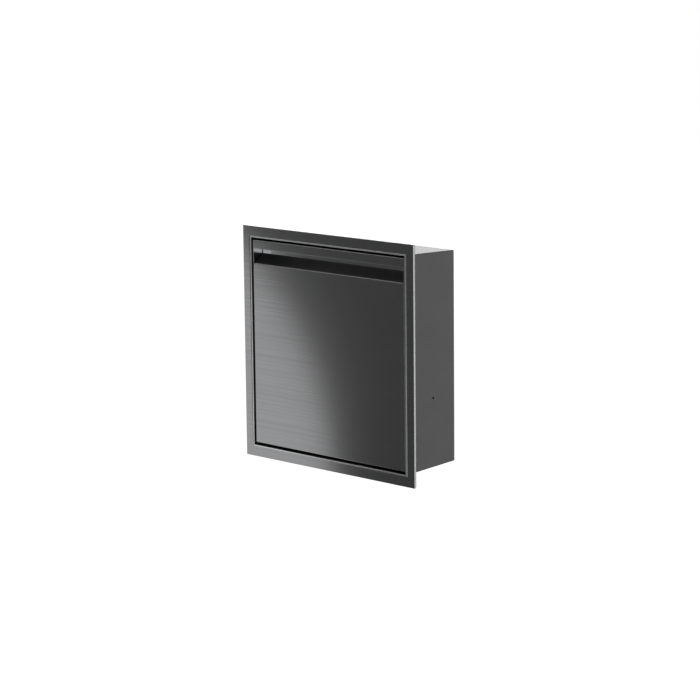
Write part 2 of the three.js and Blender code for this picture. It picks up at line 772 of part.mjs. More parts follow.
/** Spur gear; phase is the angle of one tooth's middle, in teeth. */
function makeSpurGear({ teeth, bottom, top, bore }, { x, y }, phase) {
  const pitch = (MODULE * teeth) / 2;
  const root = { radius: pitch - TOOTH.root_depth, width: TOOTH.root_width };
  const tip = { radius: pitch + TOOTH.tip_height, width: TOOTH.tip_width };
  const outline = [];
  for (let i = 0; i < teeth; i += 1) {
    const middle = ((i + phase) * 2 * Math.PI) / teeth;
    for (const [edge, sign] of [[root, -1], [tip, -1], [tip, 1], [root, 1]]) {
      const angle = middle + (sign * edge.width) / 2 / edge.radius;
      outline.push(new THREE.Vector2(x + edge.radius * Math.cos(angle), y + edge.radius * Math.sin(angle)));
    }
  }
  const shape = new THREE.Shape(outline);
  shape.holes.push(new THREE.Path().absarc(x, y, bore, 0, 2 * Math.PI, true));
  return alongZ(shape, bottom, top);
}

for (const [name, side] of SIDES) {
  add(`lead_screw_${name}`, makeLeadScrew(side), 'steel');
  add(`screw_pulley_${name}`, makePulley(side * SCREW.x, SCREW.y), 'zinc');
}
const driveShaft = upright(SCREW.journal, DRIVE_AXIS.x, DRIVE_AXIS.y, DRIVE_SHAFT_BOTTOM, SCREW.top);
const motorShaft = upright(MOTOR_SHAFT.radius, MOTOR_AXIS.x, MOTOR_AXIS.y, MOTOR.top + GAP, MOTOR_SHAFT.top);
add('drive_shaft', driveShaft, 'steel');
add('drive_gear', makeSpurGear(GEAR, DRIVE_AXIS, 0), 'steel');
add('drive_pulley', makePulley(DRIVE_AXIS.x, DRIVE_AXIS.y), 'zinc');
add('motor_shaft', motorShaft, 'steel');
add('motor_pinion', makeSpurGear(PINION, MOTOR_AXIS, 0.5), 'brass');

// ---------------------------------------------------------------- latch bolt and switch plunger

function makeLatchBolt() {
  const { x, y, radius, bottom, top, head, head_bottom: headBottom, point } = LATCH;
  const profile = [
    [0, bottom],
    [radius - point, bottom],
    [radius, bottom + point],
    [radius, headBottom],
    [head, headBottom],
    [head, top],
    [0, top],
  ];
  return turned(profile, x, y);
}

add('latch_bolt', makeLatchBolt(), 'steel');
const plunger = lying('y', PLUNGER.radius, PLUNGER.front, PLUNGER.back, [SWITCH.x, 0, PLUNGER.z]);
add('switch_plunger', plunger, 'plastic');

export default unit;
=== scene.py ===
import math

import bmesh
import bpy
from mathutils import Matrix, Vector


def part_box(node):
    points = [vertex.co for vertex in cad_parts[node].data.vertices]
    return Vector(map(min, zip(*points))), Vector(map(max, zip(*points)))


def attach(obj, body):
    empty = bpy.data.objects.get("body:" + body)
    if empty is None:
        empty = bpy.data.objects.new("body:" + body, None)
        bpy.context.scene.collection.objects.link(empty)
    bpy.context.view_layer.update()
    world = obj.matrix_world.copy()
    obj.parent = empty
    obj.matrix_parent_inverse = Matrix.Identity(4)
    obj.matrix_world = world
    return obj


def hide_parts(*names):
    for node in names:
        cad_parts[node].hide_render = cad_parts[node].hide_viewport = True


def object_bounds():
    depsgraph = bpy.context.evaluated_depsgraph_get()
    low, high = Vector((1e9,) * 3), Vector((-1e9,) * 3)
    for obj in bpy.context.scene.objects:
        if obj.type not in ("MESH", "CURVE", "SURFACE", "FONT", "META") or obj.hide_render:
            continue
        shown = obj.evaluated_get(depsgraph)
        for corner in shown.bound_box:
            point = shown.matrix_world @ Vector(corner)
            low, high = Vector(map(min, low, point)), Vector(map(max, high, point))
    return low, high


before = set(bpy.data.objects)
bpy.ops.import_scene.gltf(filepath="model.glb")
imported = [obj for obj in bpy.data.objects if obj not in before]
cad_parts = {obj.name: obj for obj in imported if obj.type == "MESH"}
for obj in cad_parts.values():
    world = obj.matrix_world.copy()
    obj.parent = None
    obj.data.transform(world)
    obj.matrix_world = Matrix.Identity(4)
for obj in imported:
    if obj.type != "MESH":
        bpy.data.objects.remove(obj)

# Lengths in shapes are millimetres in the frame's axes; piece() turns them into metres.
CAD_LOW, CAD_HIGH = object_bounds()
MM = 0.001
WIDTH = CAD_HIGH.x - CAD_LOW.x
MIDDLE = (CAD_LOW + CAD_HIGH) / 2
FRONT_CENTRE = Vector((MIDDLE.x, CAD_LOW.y, MIDDLE.z))
SIDES = (("left", -1), ("right", 1))

# ---- camera

AZIMUTH = math.radians(44.50)
ELEVATION = math.radians(10.08)
ROLL = math.radians(-0.61)
DISTANCE = 10.701 * WIDTH
LENS, SENSOR = 131.07, 36
AIM_RIGHT = 0.0982 * WIDTH
AIM_UP = 0.0153 * WIDTH


def linked(name, data):
    """A new object in the scene."""
    obj = bpy.data.objects.new(name, data)
    bpy.context.scene.collection.objects.link(obj)
    return obj


def make_camera():
    right = Vector((math.cos(AZIMUTH), math.sin(AZIMUTH), 0))
    back = Vector((
        math.sin(AZIMUTH) * math.cos(ELEVATION),
        -math.cos(AZIMUTH) * math.cos(ELEVATION),
        math.sin(ELEVATION),
    ))
    up = back.cross(right)
    tilted_right = math.cos(ROLL) * right + math.sin(ROLL) * up
    tilted_up = back.cross(tilted_right)
    aim = FRONT_CENTRE + AIM_RIGHT * tilted_right + AIM_UP * tilted_up
    data = bpy.data.cameras.new("camera")
    data.lens = LENS
    data.sensor_width = SENSOR
    camera = linked("camera", data)
    turn = Matrix((tilted_right, tilted_up, back)).transposed().to_4x4()
    camera.matrix_world = Matrix.Translation(aim + DISTANCE * back) @ turn
    bpy.context.scene.camera = camera


make_camera()

# ---- material helpers


class Surface:
    """A material being built: its nodes, its links and its shader."""

    def __init__(self, name):
        self.material = bpy.data.materials.new(name)
        self.material.use_nodes = True
        self.nodes = self.material.node_tree.nodes
        self.links = self.material.node_tree.links
        self.shader = self.nodes["Principled BSDF"]

    def node(self, kind, **inputs):
        node = self.nodes.new(kind)
        for name, value in inputs.items():
            self.feed(node.inputs[name.replace("_", " ")], value)
        return node

    def feed(self, socket, value):
        if isinstance(value, bpy.types.NodeSocket):
            self.links.new(value, socket)
        else:
            socket.default_value = value

    def set(self, name, value):
        self.feed(self.shader.inputs[name], value)

    def placed(self, scale):
        """Object coordinates in metres times a scale for each axis."""
        place = self.node("ShaderNodeTexCoord").outputs["Object"]
        return self.node("ShaderNodeMapping", Vector=place, Scale=scale).outputs["Vector"]

    def noise(self, scale, detail=4.0, rough=0.5):
        """Noise with a scale along each axis, in cycles per metre."""
        place = self.placed(scale)
        texture = self.node("ShaderNodeTexNoise", Vector=place, Scale=1.0, Detail=detail, Roughness=rough)
        return texture.outputs["Fac"]

    def cells(self, scale):
        """Voronoi cells, in cells per metre."""
        return self.node("ShaderNodeTexVoronoi", Vector=self.placed((scale,) * 3), Scale=1.0)

    def spread(self, value, low, high, start=0.3, end=0.7):
        """Maps a value from start..end to low..high."""
        ends = {"From_Min": start, "From_Max": end, "To_Min": low, "To_Max": high}
        return self.node("ShaderNodeMapRange", Value=value, **ends).outputs["Result"]

    def blend(self, factor, first, second):
        """Mixes two colours."""
        node = self.nodes.new("ShaderNodeMix")
        node.data_type = "RGBA"
        self.feed(node.inputs["Factor"], factor)
        for socket, colour in (("A", first), ("B", second)):
            named = [s for s in node.inputs if s.name == socket and s.type == "RGBA"][0]
            self.feed(named, colour if isinstance(colour, bpy.types.NodeSocket) else (*colour, 1))
        return [s for s in node.outputs if s.type == "RGBA"][0]

    def maths(self, operation, first, second):
        node = self.nodes.new("ShaderNodeMath")
        node.operation = operation
        self.feed(node.inputs[0], first)
        self.feed(node.inputs[1], second)
        return node.outputs["Value"]

    def worn_edges(self, reach):
        """0 on flat stretches, rising to 1 along edges, broken up by noise."""
        bevel = self.node("ShaderNodeBevel", Radius=reach)
        bevel.samples = 4
        geometry = self.node("ShaderNodeNewGeometry")
        dot = self.nodes.new("ShaderNodeVectorMath")
        dot.operation = "DOT_PRODUCT"
        self.links.new(bevel.outputs["Normal"], dot.inputs[0])
        self.links.new(geometry.outputs["Normal"], dot.inputs[1])
        edge = self.spread(dot.outputs["Value"], 1, 0, 0.86, 0.99)
        return self.maths("MULTIPLY", edge, self.spread(self.noise((160,) * 3, 3), 0.25, 1))

    def mottled(self, value, colour, dark, light):
        """A colour that a value varies between a darker and a lighter tint."""
        return self.blend(self.spread(value, 0, 1), tinted(colour, dark), tinted(colour, light))

    def colour(self, tone, worn, reach, amount):
        """Sets the base colour to a tone that turns by an amount to the worn colour along edges."""
        rubbed = self.maths("MULTIPLY", self.worn_edges(reach), amount)
        self.set("Base Color", self.blend(rubbed, tone, worn))

    def bump(self, height, strength, distance):
        node = self.node("ShaderNodeBump", Height=height, Strength=strength, Distance=distance)
        self.links.new(node.outputs["Normal"], self.shader.inputs["Normal"])


def tinted(colour, factor):
    return tuple(min(1.0, channel * factor) for channel in colour)


def brushed_metal(name, colour, roughness, anisotropy, contrast=0.07, along=(1.6, 380, 380)):
    """Metal brushed in one direction: long streaks, finer scratches, and edges rubbed brighter."""
    s = Surface(name)
    streak = s.noise(along, 7, 0.62)
    scratch = s.noise(tuple(3 * value for value in along), 2)
    cloud = s.noise((7, 7, 7), 2)
    tone = s.mottled(streak, colour, 1 - contrast, 1 + contrast)
    tone = s.blend(s.spread(cloud, 0, 0.06), tone, tinted(colour, 0.8))
    s.colour(tone, tinted(colour, 1.3), 0.0007, 0.5)
    s.set("Roughness", s.spread(streak, roughness * 1.1, roughness * 0.92))
    s.set("Metallic", 1.0)
    s.set("Anisotropic", anisotropy)
    s.set("Anisotropic Rotation", 0.25)
    s.bump(scratch, 0.12, 0.00003)
    return s.material


def coated_metal(name, colour, roughness, metallic):
    """Smooth coated sheet with a faint orange-peel skin and rubbed edges."""
    s = Surface(name)
    peel = s.noise((1100,) * 3, 2)
    tone = s.mottled(s.noise((16,) * 3, 5), colour, 0.95, 1.05)
    s.colour(tone, tinted(colour, 2.2), 0.0009, 0.35)
    s.set("Roughness", s.spread(peel, roughness * 0.94, roughness * 1.06))
    s.set("Metallic", metallic)
    s.bump(peel, 0.1, 0.00003)
    return s.material


def galvanised(name, colour):
    """Zinc-coated sheet: large flat crystals of slightly different greys."""
    s = Surface(name)
    crystal = s.cells(140).outputs["Color"]
    grey = s.node("ShaderNodeRGBToBW", Color=crystal).outputs["Val"]
    tone = s.blend(grey, tinted(colour, 0.82), tinted(colour, 1.12))
    s.colour(tone, tinted(colour, 1.4), 0.0008, 0.4)
    s.set("Roughness", s.spread(grey, 0.32, 0.5, 0, 1))
    s.set("Metallic", 0.9)
    s.bump(s.noise((700,) * 3, 3), 0.12, 0.00005)
    return s.material


def machined(name, colour, roughness):
    """Turned or milled metal with fine tool marks across its height."""
    s = Surface(name)
    marks = s.noise((60, 60, 2600), 3)
    s.colour(s.mottled(marks, colour, 0.86, 1.1), tinted(colour, 1.35), 0.0006, 0.4)
    s.set("Roughness", s.spread(marks, roughness * 1.2, roughness * 0.85))
    s.set("Metallic", 1.0)
    s.bump(marks, 0.2, 0.00004)
    return s.material


def painted(name, colour, roughness, grain, wear, depth=0.0001):
    """Enamel or cast skin: grainy, with edges rubbed through to a lighter tone."""
    s = Surface(name)
    speck = s.noise((grain,) * 3, 4)
    bare = (0.4, 0.4, 0.41)
    s.colour(s.mottled(s.noise((24,) * 3, 4), colour, 0.86, 1.12), bare, 0.001, wear)
    s.set("Roughness", s.spread(speck, roughness * 0.88, roughness * 1.1))
    s.bump(speck, 0.35, depth)
    return s.material


def soft_black(name, colour, roughness, grain, depth):
    """Rubber, foam or moulded plastic with a fine moulded grain and dusty edges."""
    s = Surface(name)
    pores = s.cells(grain).outputs["Distance"]
    cloud = s.noise((30,) * 3, 4)
    s.colour(s.mottled(cloud, colour, 0.8, 1.3), tinted(colour, 3), 0.0008, 0.3)
    s.set("Roughness", s.spread(cloud, roughness * 0.92, roughness * 1.05))
    s.bump(pores, 0.4, depth)
    return s.material


FRONT_STEEL = brushed_metal("brushed_front", (0.42, 0.423, 0.43), 0.23, 0.75, 0.11)
# Lighter copy of the brushed steel for the trim's lip: a painted highlight along the edge of the opening.
LIP_STEEL_PAINTED_HIGHLIGHT = brushed_metal("brushed_lip_painted_highlight", (0.8, 0.805, 0.815), 0.3, 0.3)
# Lighter copy of the brushed steel for the grip recess's walls: a painted reflection that makes them
# brighter than the front.
RECESS_STEEL_PAINTED_REFLECTION = brushed_metal("recess_painted_reflection", (0.58, 0.583, 0.59), 0.18, 0.4)
# Darker copy of the brushed steel for the recess floor: painted shade under the band.
FLOOR_STEEL_PAINTED_SHADE = brushed_metal("recess_floor_painted_shade", (0.2, 0.201, 0.204), 0.3, 0.2)
MATERIALS = {
    "brushed_steel": FRONT_STEEL,
    "coated_sheet": coated_metal("grey_sheet", (0.088, 0.088, 0.091), 0.42, 0.6),
    "zinc": galvanised("galvanised_sheet", (0.52, 0.53, 0.54)),
    "steel": machined("turned_steel", (0.5, 0.5, 0.51), 0.3),
    "cast": painted("dark_enamel", (0.06, 0.063, 0.067), 0.5, 900, 0.5),
    "bin_paint": painted("bin_enamel", (0.13, 0.14, 0.15), 0.48, 1500, 0.6, 0.00006),
    "brass": machined("brass", (0.64, 0.48, 0.22), 0.3),
    "rubber": soft_black("black_rubber", (0.02, 0.02, 0.021), 0.8, 1400, 0.00005),
    "foam": soft_black("grey_foam", (0.05, 0.05, 0.055), 0.95, 500, 0.0005),
    "plastic": soft_black("black_plastic", (0.025, 0.026, 0.028), 0.42, 2200, 0.00003),
}
COPPER = machined("copper_winding", (0.55, 0.25, 0.12), 0.35)

# ---- mesh helpers

AXES = {
    "X": lambda u, v, height: (height, u, v),
    "Y": lambda u, v, height: (u, height, v),
    "Z": lambda u, v, height: (u, v, height),
}


def span(node):
    """A node's box in millimetres: x0, x1, y0, y1, z0, z1."""
    low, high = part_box(node)
    return [value / MM for pair in zip(low, high) for value in pair]


def ends(node):
    """A node's lowest and highest z in millimetres."""
    return span(node)[4:]


def centre_of(node, along="Z"):
    """The middle of a node in millimetres, as seen along Z or Y."""
    x0, x1, *rest = span(node)
    low, high = rest[:2] if along == "Z" else rest[2:]
    return (x0 + x1) / 2, (low + high) / 2


def raised(base, *points):
    """(radius or inset, height) points, with their heights counted from a base."""
    return [(reach, base + height) for reach, height in points]


def circle(radius, u=0.0, v=0.0, count=32):
    angles = [2 * math.pi * i / count for i in range(count)]
    return [(u + radius * math.cos(a), v + radius * math.sin(a)) for a in angles]


def rectangle(u0, u1, v0, v1, corner=0.6, steps=4):
    """Outline of a rectangle with round corners."""
    points = []
    centres = ((u0 + corner, v0 + corner), (u1 - corner, v0 + corner))
    centres += ((u1 - corner, v1 - corner), (u0 + corner, v1 - corner))
    for quarter, (u, v) in enumerate(centres):
        for step in range(steps + 1):
            angle = math.pi * (1 + quarter / 2 + step / steps / 2)
            points.append((u + corner * math.cos(angle), v + corner * math.sin(angle)))
    return points


def eased(points, steps=3):
    """Outline through (u, v, reach) points, each corner rounded over its reach."""
    outline = []
    for i, (u, v, reach) in enumerate(points):
        here = Vector((u, v))
        if reach == 0:
            outline.append((u, v))
            continue
        before = Vector(points[i - 1][:2]) - here
        after = Vector(points[(i + 1) % len(points)][:2]) - here
        reach = min(reach, before.length * 0.45, after.length * 0.45)
        start = here + before.normalized() * reach
        end = here + after.normalized() * reach
        for step in range(steps + 1):
            t = step / steps
            outline.append(tuple(start.lerp(here, t).lerp(here.lerp(end, t), t)))
    return outline


def bridge(mesh, rows):
    """Quads from each row of points to the next, with outward normals."""
    for lower, upper in zip(rows, rows[1:]):
        for i in range(len(lower)):
            mesh.faces.new((lower[i - 1], lower[i], upper[i], upper[i - 1]))
    bmesh.ops.recalc_face_normals(mesh, faces=mesh.faces)
    return mesh


def loft(axis, rings, closed=False):
    """Skin through rings, each an outline and its height along the axis."""
    mesh = bmesh.new()
    place = AXES[axis]
    rows = [[mesh.verts.new(place(u, v, height)) for u, v in outline] for outline, height in rings]
    if closed:
        rows.append(rows[0])
    else:
        mesh.faces.new(rows[0])
        mesh.faces.new(rows[-1])
    return bridge(mesh, rows)


def straight(axis, section, start, end):
    return loft(axis, [(section, start), (section, end)])


def turned(axis, centre, profile, closed=False, count=32):
    """Solid of revolution about an axis through centre, from (radius, height) points."""
    return loft(axis, [(circle(radius, *centre, count), height) for radius, height in profile], closed)


def rounding(radius, least=0):
    """Corner radii that shrink with the inset."""
    return lambda inset: max(radius - inset, least)


def framed(axis, sides, section, corner, closed=False, steps=4):
    """Skin round four sides, through (inset, height) points; corner gives the radius for an inset."""
    u0, u1, v0, v1 = sides
    rings = []
    for inset, height in section:
        outline = rectangle(u0 + inset, u1 - inset, v0 + inset, v1 - inset, corner(inset), steps)
        rings.append((outline, height))
    return loft(axis, rings, closed)


def grown(outline, distance):
    """A counter-clockwise outline moved outwards by a distance."""
    moved = []
    for i, point in enumerate(outline):
        before, after = outline[i - 1], outline[(i + 1) % len(outline)]
        along = Vector((after[0] - before[0], after[1] - before[1])).normalized()
        moved.append((point[0] + along.y * distance, point[1] - along.x * distance))
    return moved


def plate(axis, outlines, start, end, chamfer=0.2):
    """Flat plate with chamfered edges: the first outline is its rim, the others are holes."""
    mesh = bmesh.new()
    place = AXES[axis]
    levels = []
    for height, inset in ((start, chamfer), (start + chamfer, 0), (end - chamfer, 0), (end, chamfer)):
        loops = []
        for number, outline in enumerate(outlines):
            edge = grown(outline, inset if number else -inset)
            loops.append([mesh.verts.new(place(u, v, height)) for u, v in edge])
        levels.append(loops)
    for loops in (levels[0], levels[-1]):
        edges = [mesh.edges.new((loop[i - 1], loop[i])) for loop in loops for i in range(len(loop))]
        bmesh.ops.triangle_fill(mesh, use_beauty=True, edges=edges)
    for rows in zip(*levels):
        bridge(mesh, rows)
    return mesh


def block(x0, x1, y0, y1, z0, z1, corner=0.8):
    """Box with all its edges eased."""
    soft = corner * 0.35
    rings = [
        (rectangle(x0 + soft, x1 - soft, y0 + soft, y1 - soft, corner), z0),
        (rectangle(x0, x1, y0, y1, corner), z0 + soft),
        (rectangle(x0, x1, y0, y1, corner), z1 - soft),
        (rectangle(x0 + soft, x1 - soft, y0 + soft, y1 - soft, corner), z1),
    ]
    return loft("Z", rings)


def settled(mesh, name="loose"):
    """Mesh data made of a mesh under construction."""
    data = bpy.data.meshes.new(name)
    mesh.to_mesh(data)
    mesh.free()
    return data


def merged(*meshes):
    """One mesh of several."""
    whole = bmesh.new()
    for mesh in meshes:
        data = settled(mesh)
        whole.from_mesh(data)
        bpy.data.meshes.remove(data)
    return whole


def carved(mesh, *tools):
    """A mesh with the tools' volumes taken out of it."""
    body, cutter = objects = [linked("loose", settled(part)) for part in (mesh, merged(*tools))]
    boolean = body.modifiers.new("cut", "BOOLEAN")
    boolean.operation = "DIFFERENCE"
    boolean.solver = "EXACT"
    boolean.use_self = True
    boolean.object = cutter
    result = bmesh.new()
    result.from_object(body, bpy.context.evaluated_depsgraph_get())
    for spent in objects:
        data = spent.data
        bpy.data.objects.remove(spent)
        bpy.data.meshes.remove(data)
    return result


def piece(name, mesh, body, slot, nodes, bevel=0.0, sharp=35, material=None):
    """Makes an object of a mesh in millimetres, shades it, and ties it to the frame."""
    bmesh.ops.scale(mesh, vec=(MM, MM, MM), verts=mesh.verts)
    data = settled(mesh, name)
    data.shade_smooth()
    data.materials.append(material or MATERIALS[slot])
    obj = linked(name, data)
    if bevel:
        modifier = obj.modifiers.new("edges", "BEVEL")
        modifier.width = bevel * MM
        modifier.segments = 2
        modifier.limit_method = "ANGLE"
        modifier.angle_limit = math.radians(sharp)
    else:
        data.set_sharp_from_angle(angle=math.radians(sharp))
    weighted = obj.modifiers.new("normals", "WEIGHTED_NORMAL")
    weighted.keep_sharp = True
    weighted.weight = 100
    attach(obj, body)
    if nodes:
        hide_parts(*nodes)
    return obj


def stand_in(node, mesh, body, slot, bevel=0.0, sharp=35, material=None):
    """A detailed piece that stands for one CAD node."""
    return piece(node + "_detailed", mesh, body, slot, [node], bevel, sharp, material)


def spin(node, profile, body, slot, closed=False, count=32):
    """Stands in for a node with a solid turned about the node's own upright axis."""
    stand_in(node, turned("Z", centre_of(node), profile, closed, count), body, slot)

# ---- trim, shell and back

SCREW_HOLE = 2.3
BACK_SCREWS = [(side * 194.5, z) for _, side in SIDES for z in (60, 400)]
BELT_GROOVES = 4


def make_trim():
    """Folded frame with a shallow lip round its opening and a groove along its outer edge."""
    x0, x1, y0, y1, z0, z1 = span("trim_frame")
    slope, slope_reach, lip_out, lip_in, lip_step = 18.0, 0.6, 20.0, 22.7, 0.08
    skin, sheet, hem, edge, shrink = 1.5, 1.2, 9, 1.0, 0.03
    depth = y1 - y0
    section = eased([
        (slope, 0, 0.4), (0, 0, 0.8), (0, 3.1, 0.2), (0.7, 3.3, 0.1), (0.45, 3.7, 0.2), (1.2, depth, 0.6),
        (hem, depth, 0.4), (hem, depth - sheet, 0.2), (skin, depth - sheet, 0), (skin, skin, 0),
        (lip_in, skin, 0.2), (lip_in, 0.5, 0.4), (lip_in - 0.5, lip_step, 0.5),
        (lip_out + 0.4, lip_step, 0.4), (lip_out, 0.4, 0.2),
    ])

    def rail_inset(inset):
        """The slope beside the lip is only on the upright sides; along the rails it shrinks to a line."""
        if abs(inset - slope) < slope_reach:
            return lip_out - 0.1 + (inset - slope) * 0.05
        return inset

    rings = []
    for inset, y in section:
        corner = max(0.3, edge - inset * shrink)
        rail = rail_inset(inset)
        rings.append((rectangle(x0 + inset, x1 - inset, z0 + rail, z1 - rail, corner), y0 + y))
    trim = stand_in("trim_frame", loft("Y", rings, True), "cabinet", "brushed_steel")
    # The lip's front faces take the lighter steel, which paints a highlight round the opening.
    trim.data.materials.append(LIP_STEEL_PAINTED_HIGHLIGHT)
    for polygon in trim.data.polygons:
        x, y, z = polygon.center / MM
        inset = min(x - x0, x1 - x, z - z0, z1 - z)
        if inset > lip_out and y < y0 + skin - 0.1:
            polygon.material_index = 1


def make_shell():
    """Tapered sheet box: a front flange behind the trim, four walls, and a rear flange turned inwards."""
    x0, x1, y0, y1, z0, z1 = span("cabinet_shell")
    sheet, wall, taper = 1.2, 11.75, 5
    depth = y1 - y0
    rear_in, rear_out, rear_edge = depth - 4.4, depth - 3.2, 30

    def inner(y):
        return wall + taper * y / depth + sheet

    section = eased([
        (0, 0, 0.3), (0, sheet, 0.3), (wall, sheet, 1.0), (wall + taper, depth, 0.4),
        (wall + taper + sheet, depth, 0.4), (inner(rear_out), rear_out, 0.3), (rear_edge, rear_out, 0.3),
        (rear_edge, rear_in, 0.3), (inner(rear_in), rear_in, 1.2), (inner(0), 0, 1.8),
    ])
    shell = framed("Y", (x0, x1, z0, z1), raised(y0, *section),
                   lambda inset: 2.0 if inset < wall + taper + 0.6 else 1.2, True)
    hole_depth, radius = 77.7, 2.1
    hole = (y0 + hole_depth, 158.5)
    holes = [turned("X", hole, [(radius, x0), (radius, x1)], count=24)]
    for side in (-1, 1):
        face = side * (x1 - wall - taper * hole_depth / depth + 0.1)
        mouth = [(radius + 0.9, face + side * 0.6), (radius, face - side * 0.5)]
        holes.append(turned("X", hole, mouth, count=24))
    for place in BACK_SCREWS:
        holes.append(turned("Y", place, [(SCREW_HOLE, y1 - 8), (SCREW_HOLE, y1 + 1)], count=20))
    stand_in("cabinet_shell", carved(shell, *holes), "cabinet", "coated_sheet")


def make_back_panel():
    """Rear cover: a row of round-ended vents, an opening for the inlet, and two pressed beads."""
    x0, x1, y0, y1, z0, z1 = span("back_panel")
    vents, vent_x, vent_pitch, vent_width, vent_low, vent_high = 12, 36, 9, 4, 340, 385
    outlines = [rectangle(x0, x1, z0, z1, 4)]
    for i in range(vents):
        x = vent_x + vent_pitch * i
        outlines.append(rectangle(x, x + vent_width, vent_low, vent_high, 1.95, 5))
    ix0, ix1, _, _, iz0, iz1 = span("power_inlet")
    outlines.append(rectangle(ix0 + 3.7, ix1 - 3.7, iz0 + 2.7, iz1 - 2.7, 0.8))
    outlines += [circle(SCREW_HOLE, x, z, 20) for x, z in BACK_SCREWS]
    parts = [plate("Y", outlines, y0, y1)]
    arch = raised(y1, (0, -0.05), (1.0, 0.45), (2.4, 0.85), (4.4, 0.85), (5.8, 0.45), (6.8, -0.05))
    for inset, top in ((24, 300), (62, 262)):
        sides = (x0 + inset, x1 - inset, z0 + (inset + 2), top)
        parts.append(framed("Y", sides, arch, rounding(18), True, 8))
    stand_in("back_panel", merged(*parts), "cabinet", "coated_sheet")


def make_back_screw(number, x, z):
    """Pan-head screw with a cross recess and a threaded shank."""
    _, _, tip, top, _, _ = span(f"back_screw_{number}")
    seat, pitch = top - 1.2, 0.7
    profile = raised(tip, (0.4, 0), (1.5, 0.9))
    for i in range(int((seat - tip - 1.4) / pitch)):
        profile += raised(tip + 1.1 + i * pitch, (1.6, 0), (2.0, 0.25), (2.0, 0.4), (1.6, 0.62))
    profile += raised(seat, (1.7, 0), (3.9, 0), (4.0, 0.2), (3.9, 0.6), (3.3, 0.95))
    profile += raised(top, (2.0, 0), (0.3, 0))
    slots = [
        block(x - across, x + across, top - 0.7, top + 1, z - up, z + up, 0.2)
        for across, up in ((2.1, 0.4), (0.4, 2.1))
    ]
    screw = carved(turned("Y", (x, z), profile, count=24), *slots)
    stand_in(f"back_screw_{number}", screw, "cabinet", "steel")


def make_power_inlet():
    """Panel inlet: a flanged moulding with a deep socket, three blade pins and two rivets."""
    x0, x1, y0, y1, z0, z1 = span("power_inlet")
    face, pin_pitch, rivet_reach = y1 - 1.2, 6, 16

    def ring(inset_x, inset_z, y, corner):
        return rectangle(x0 + inset_x, x1 - inset_x, z0 + inset_z, z1 - inset_z, corner), y

    parts = [loft("Y", [
        ring(4.6, 3.6, y0, 1), ring(4, 3, y0 + 0.6, 1.2), ring(4, 3, face, 1.2), ring(0.3, 0.3, face, 2.4),
        ring(0, 0, face + 0.3, 2.6), ring(0, 0, y1 - 0.5, 2.6), ring(0.5, 0.5, y1, 2.2),
        ring(6.4, 5.4, y1, 1.6), ring(7, 6, y1 - 0.6, 1.4), ring(7, 6, y0 + 5, 1.2),
    ])]
    x, z = centre_of("power_inlet", "Y")
    for offset, lift in ((-pin_pitch, 0), (0, 1.5), (pin_pitch, 0)):
        pin = x + offset
        parts.append(block(pin - 1, pin + 1, y0 + 4, face - 4, z + lift, z + lift + 4, 0.4))
    stand_in("power_inlet", merged(*parts), "cabinet", "plastic")
    dome = raised(y1, (1.3, -0.4), (1.3, -0.05), (0.9, 0.15), (0.1, 0.2))
    for number, offset in ((1, -rivet_reach), (2, rivet_reach)):
        rivet = turned("Y", (x + offset, z), dome, count=16)
        piece(f"inlet_rivet_{number}", rivet, "cabinet", "steel", [])


# ---- drawer front


def make_front_panel():
    """Pressed pan: a flat brushed face with rounded folds and a lip turned in at the back."""
    x0, x1, y0, y1, z0, z1 = span("drawer_front_panel")
    fold, sheet, lip = 1.3, 1.2, 8
    depth = y1 - y0
    section = raised(
        y0, (fold + 0.02, 0), (fold, 0), (fold * 0.5, fold * 0.07), (fold * 0.22, fold * 0.22),
        (fold * 0.07, fold * 0.5), (0, fold), (0, depth - 0.4), (0.4, depth), (lip, depth),
        (lip, depth - sheet), (sheet, depth - sheet), (sheet, sheet),
    )
    pan = framed("Y", (x0, x1, z0, z1), section, rounding(1.6, 0.5))
    stand_in("drawer_front_panel", pan, "drawer", "brushed_steel")


def make_upper_band():
    """Folded strip above the recess: a closed hem at the bottom and a flange at the top."""
    x0, x1, y0, y1, z0, z1 = span("drawer_upper_band")
    sheet, hem, double = 1.2, 8, 1.7
    single = double - 0.2
    section = eased([
        (y0, z0, 0.8), (y0 + double, z0, 0.7), (y0 + double, z0 + hem, 0.2),
        (y0 + single, z0 + hem + 0.3, 0), (y0 + single, z1 - sheet, 0.2), (y1, z1 - sheet, 0.3),
        (y1, z1, 0.3), (y0, z1, 1.1),
    ])
    stand_in("drawer_upper_band", straight("X", section, x0, x1), "drawer", "brushed_steel", bevel=0.25)


def make_grip_channel():
    """Folded channel behind the recess: a floor that climbs, a back wall and a ceiling. The walls are a
    lighter copy of the brushed steel as painted reflection, and the floor is a darker copy as painted shade.
    """
    x0, x1, y0, y1, z0, z1 = span("grip_channel")
    sheet, joint = 1.2, 1.3
    back, step, ceiling = y1 - sheet, z0 + 17.6, z1 - sheet
    front = y0 + 1.6
    section = eased([
        (y0, z0, 0.1), (y0, z0 + 0.5, 0.1), (back, step, 0.35), (back, ceiling, 0.9), (front, ceiling, 0.2),
        (front, z1, 0.2), (y1, z1, 1.4), (y1, step - 0.9, 1.2), (front, z0, 0.1),
    ])
    channel = straight("X", section, x0 + joint, x1 - joint)
    # The channel's walls take the lighter steel, a painted reflection inside the recess.
    grip = stand_in("grip_channel", channel, "drawer", "brushed_steel", material=RECESS_STEEL_PAINTED_REFLECTION)
    # The upward faces of the floor take the darker steel, which paints shade into the recess.
    grip.data.materials.append(FLOOR_STEEL_PAINTED_SHADE)
    for polygon in grip.data.polygons:
        if polygon.normal.z > 0.3 and polygon.center.z / MM < step + 1:
            polygon.material_index = 1


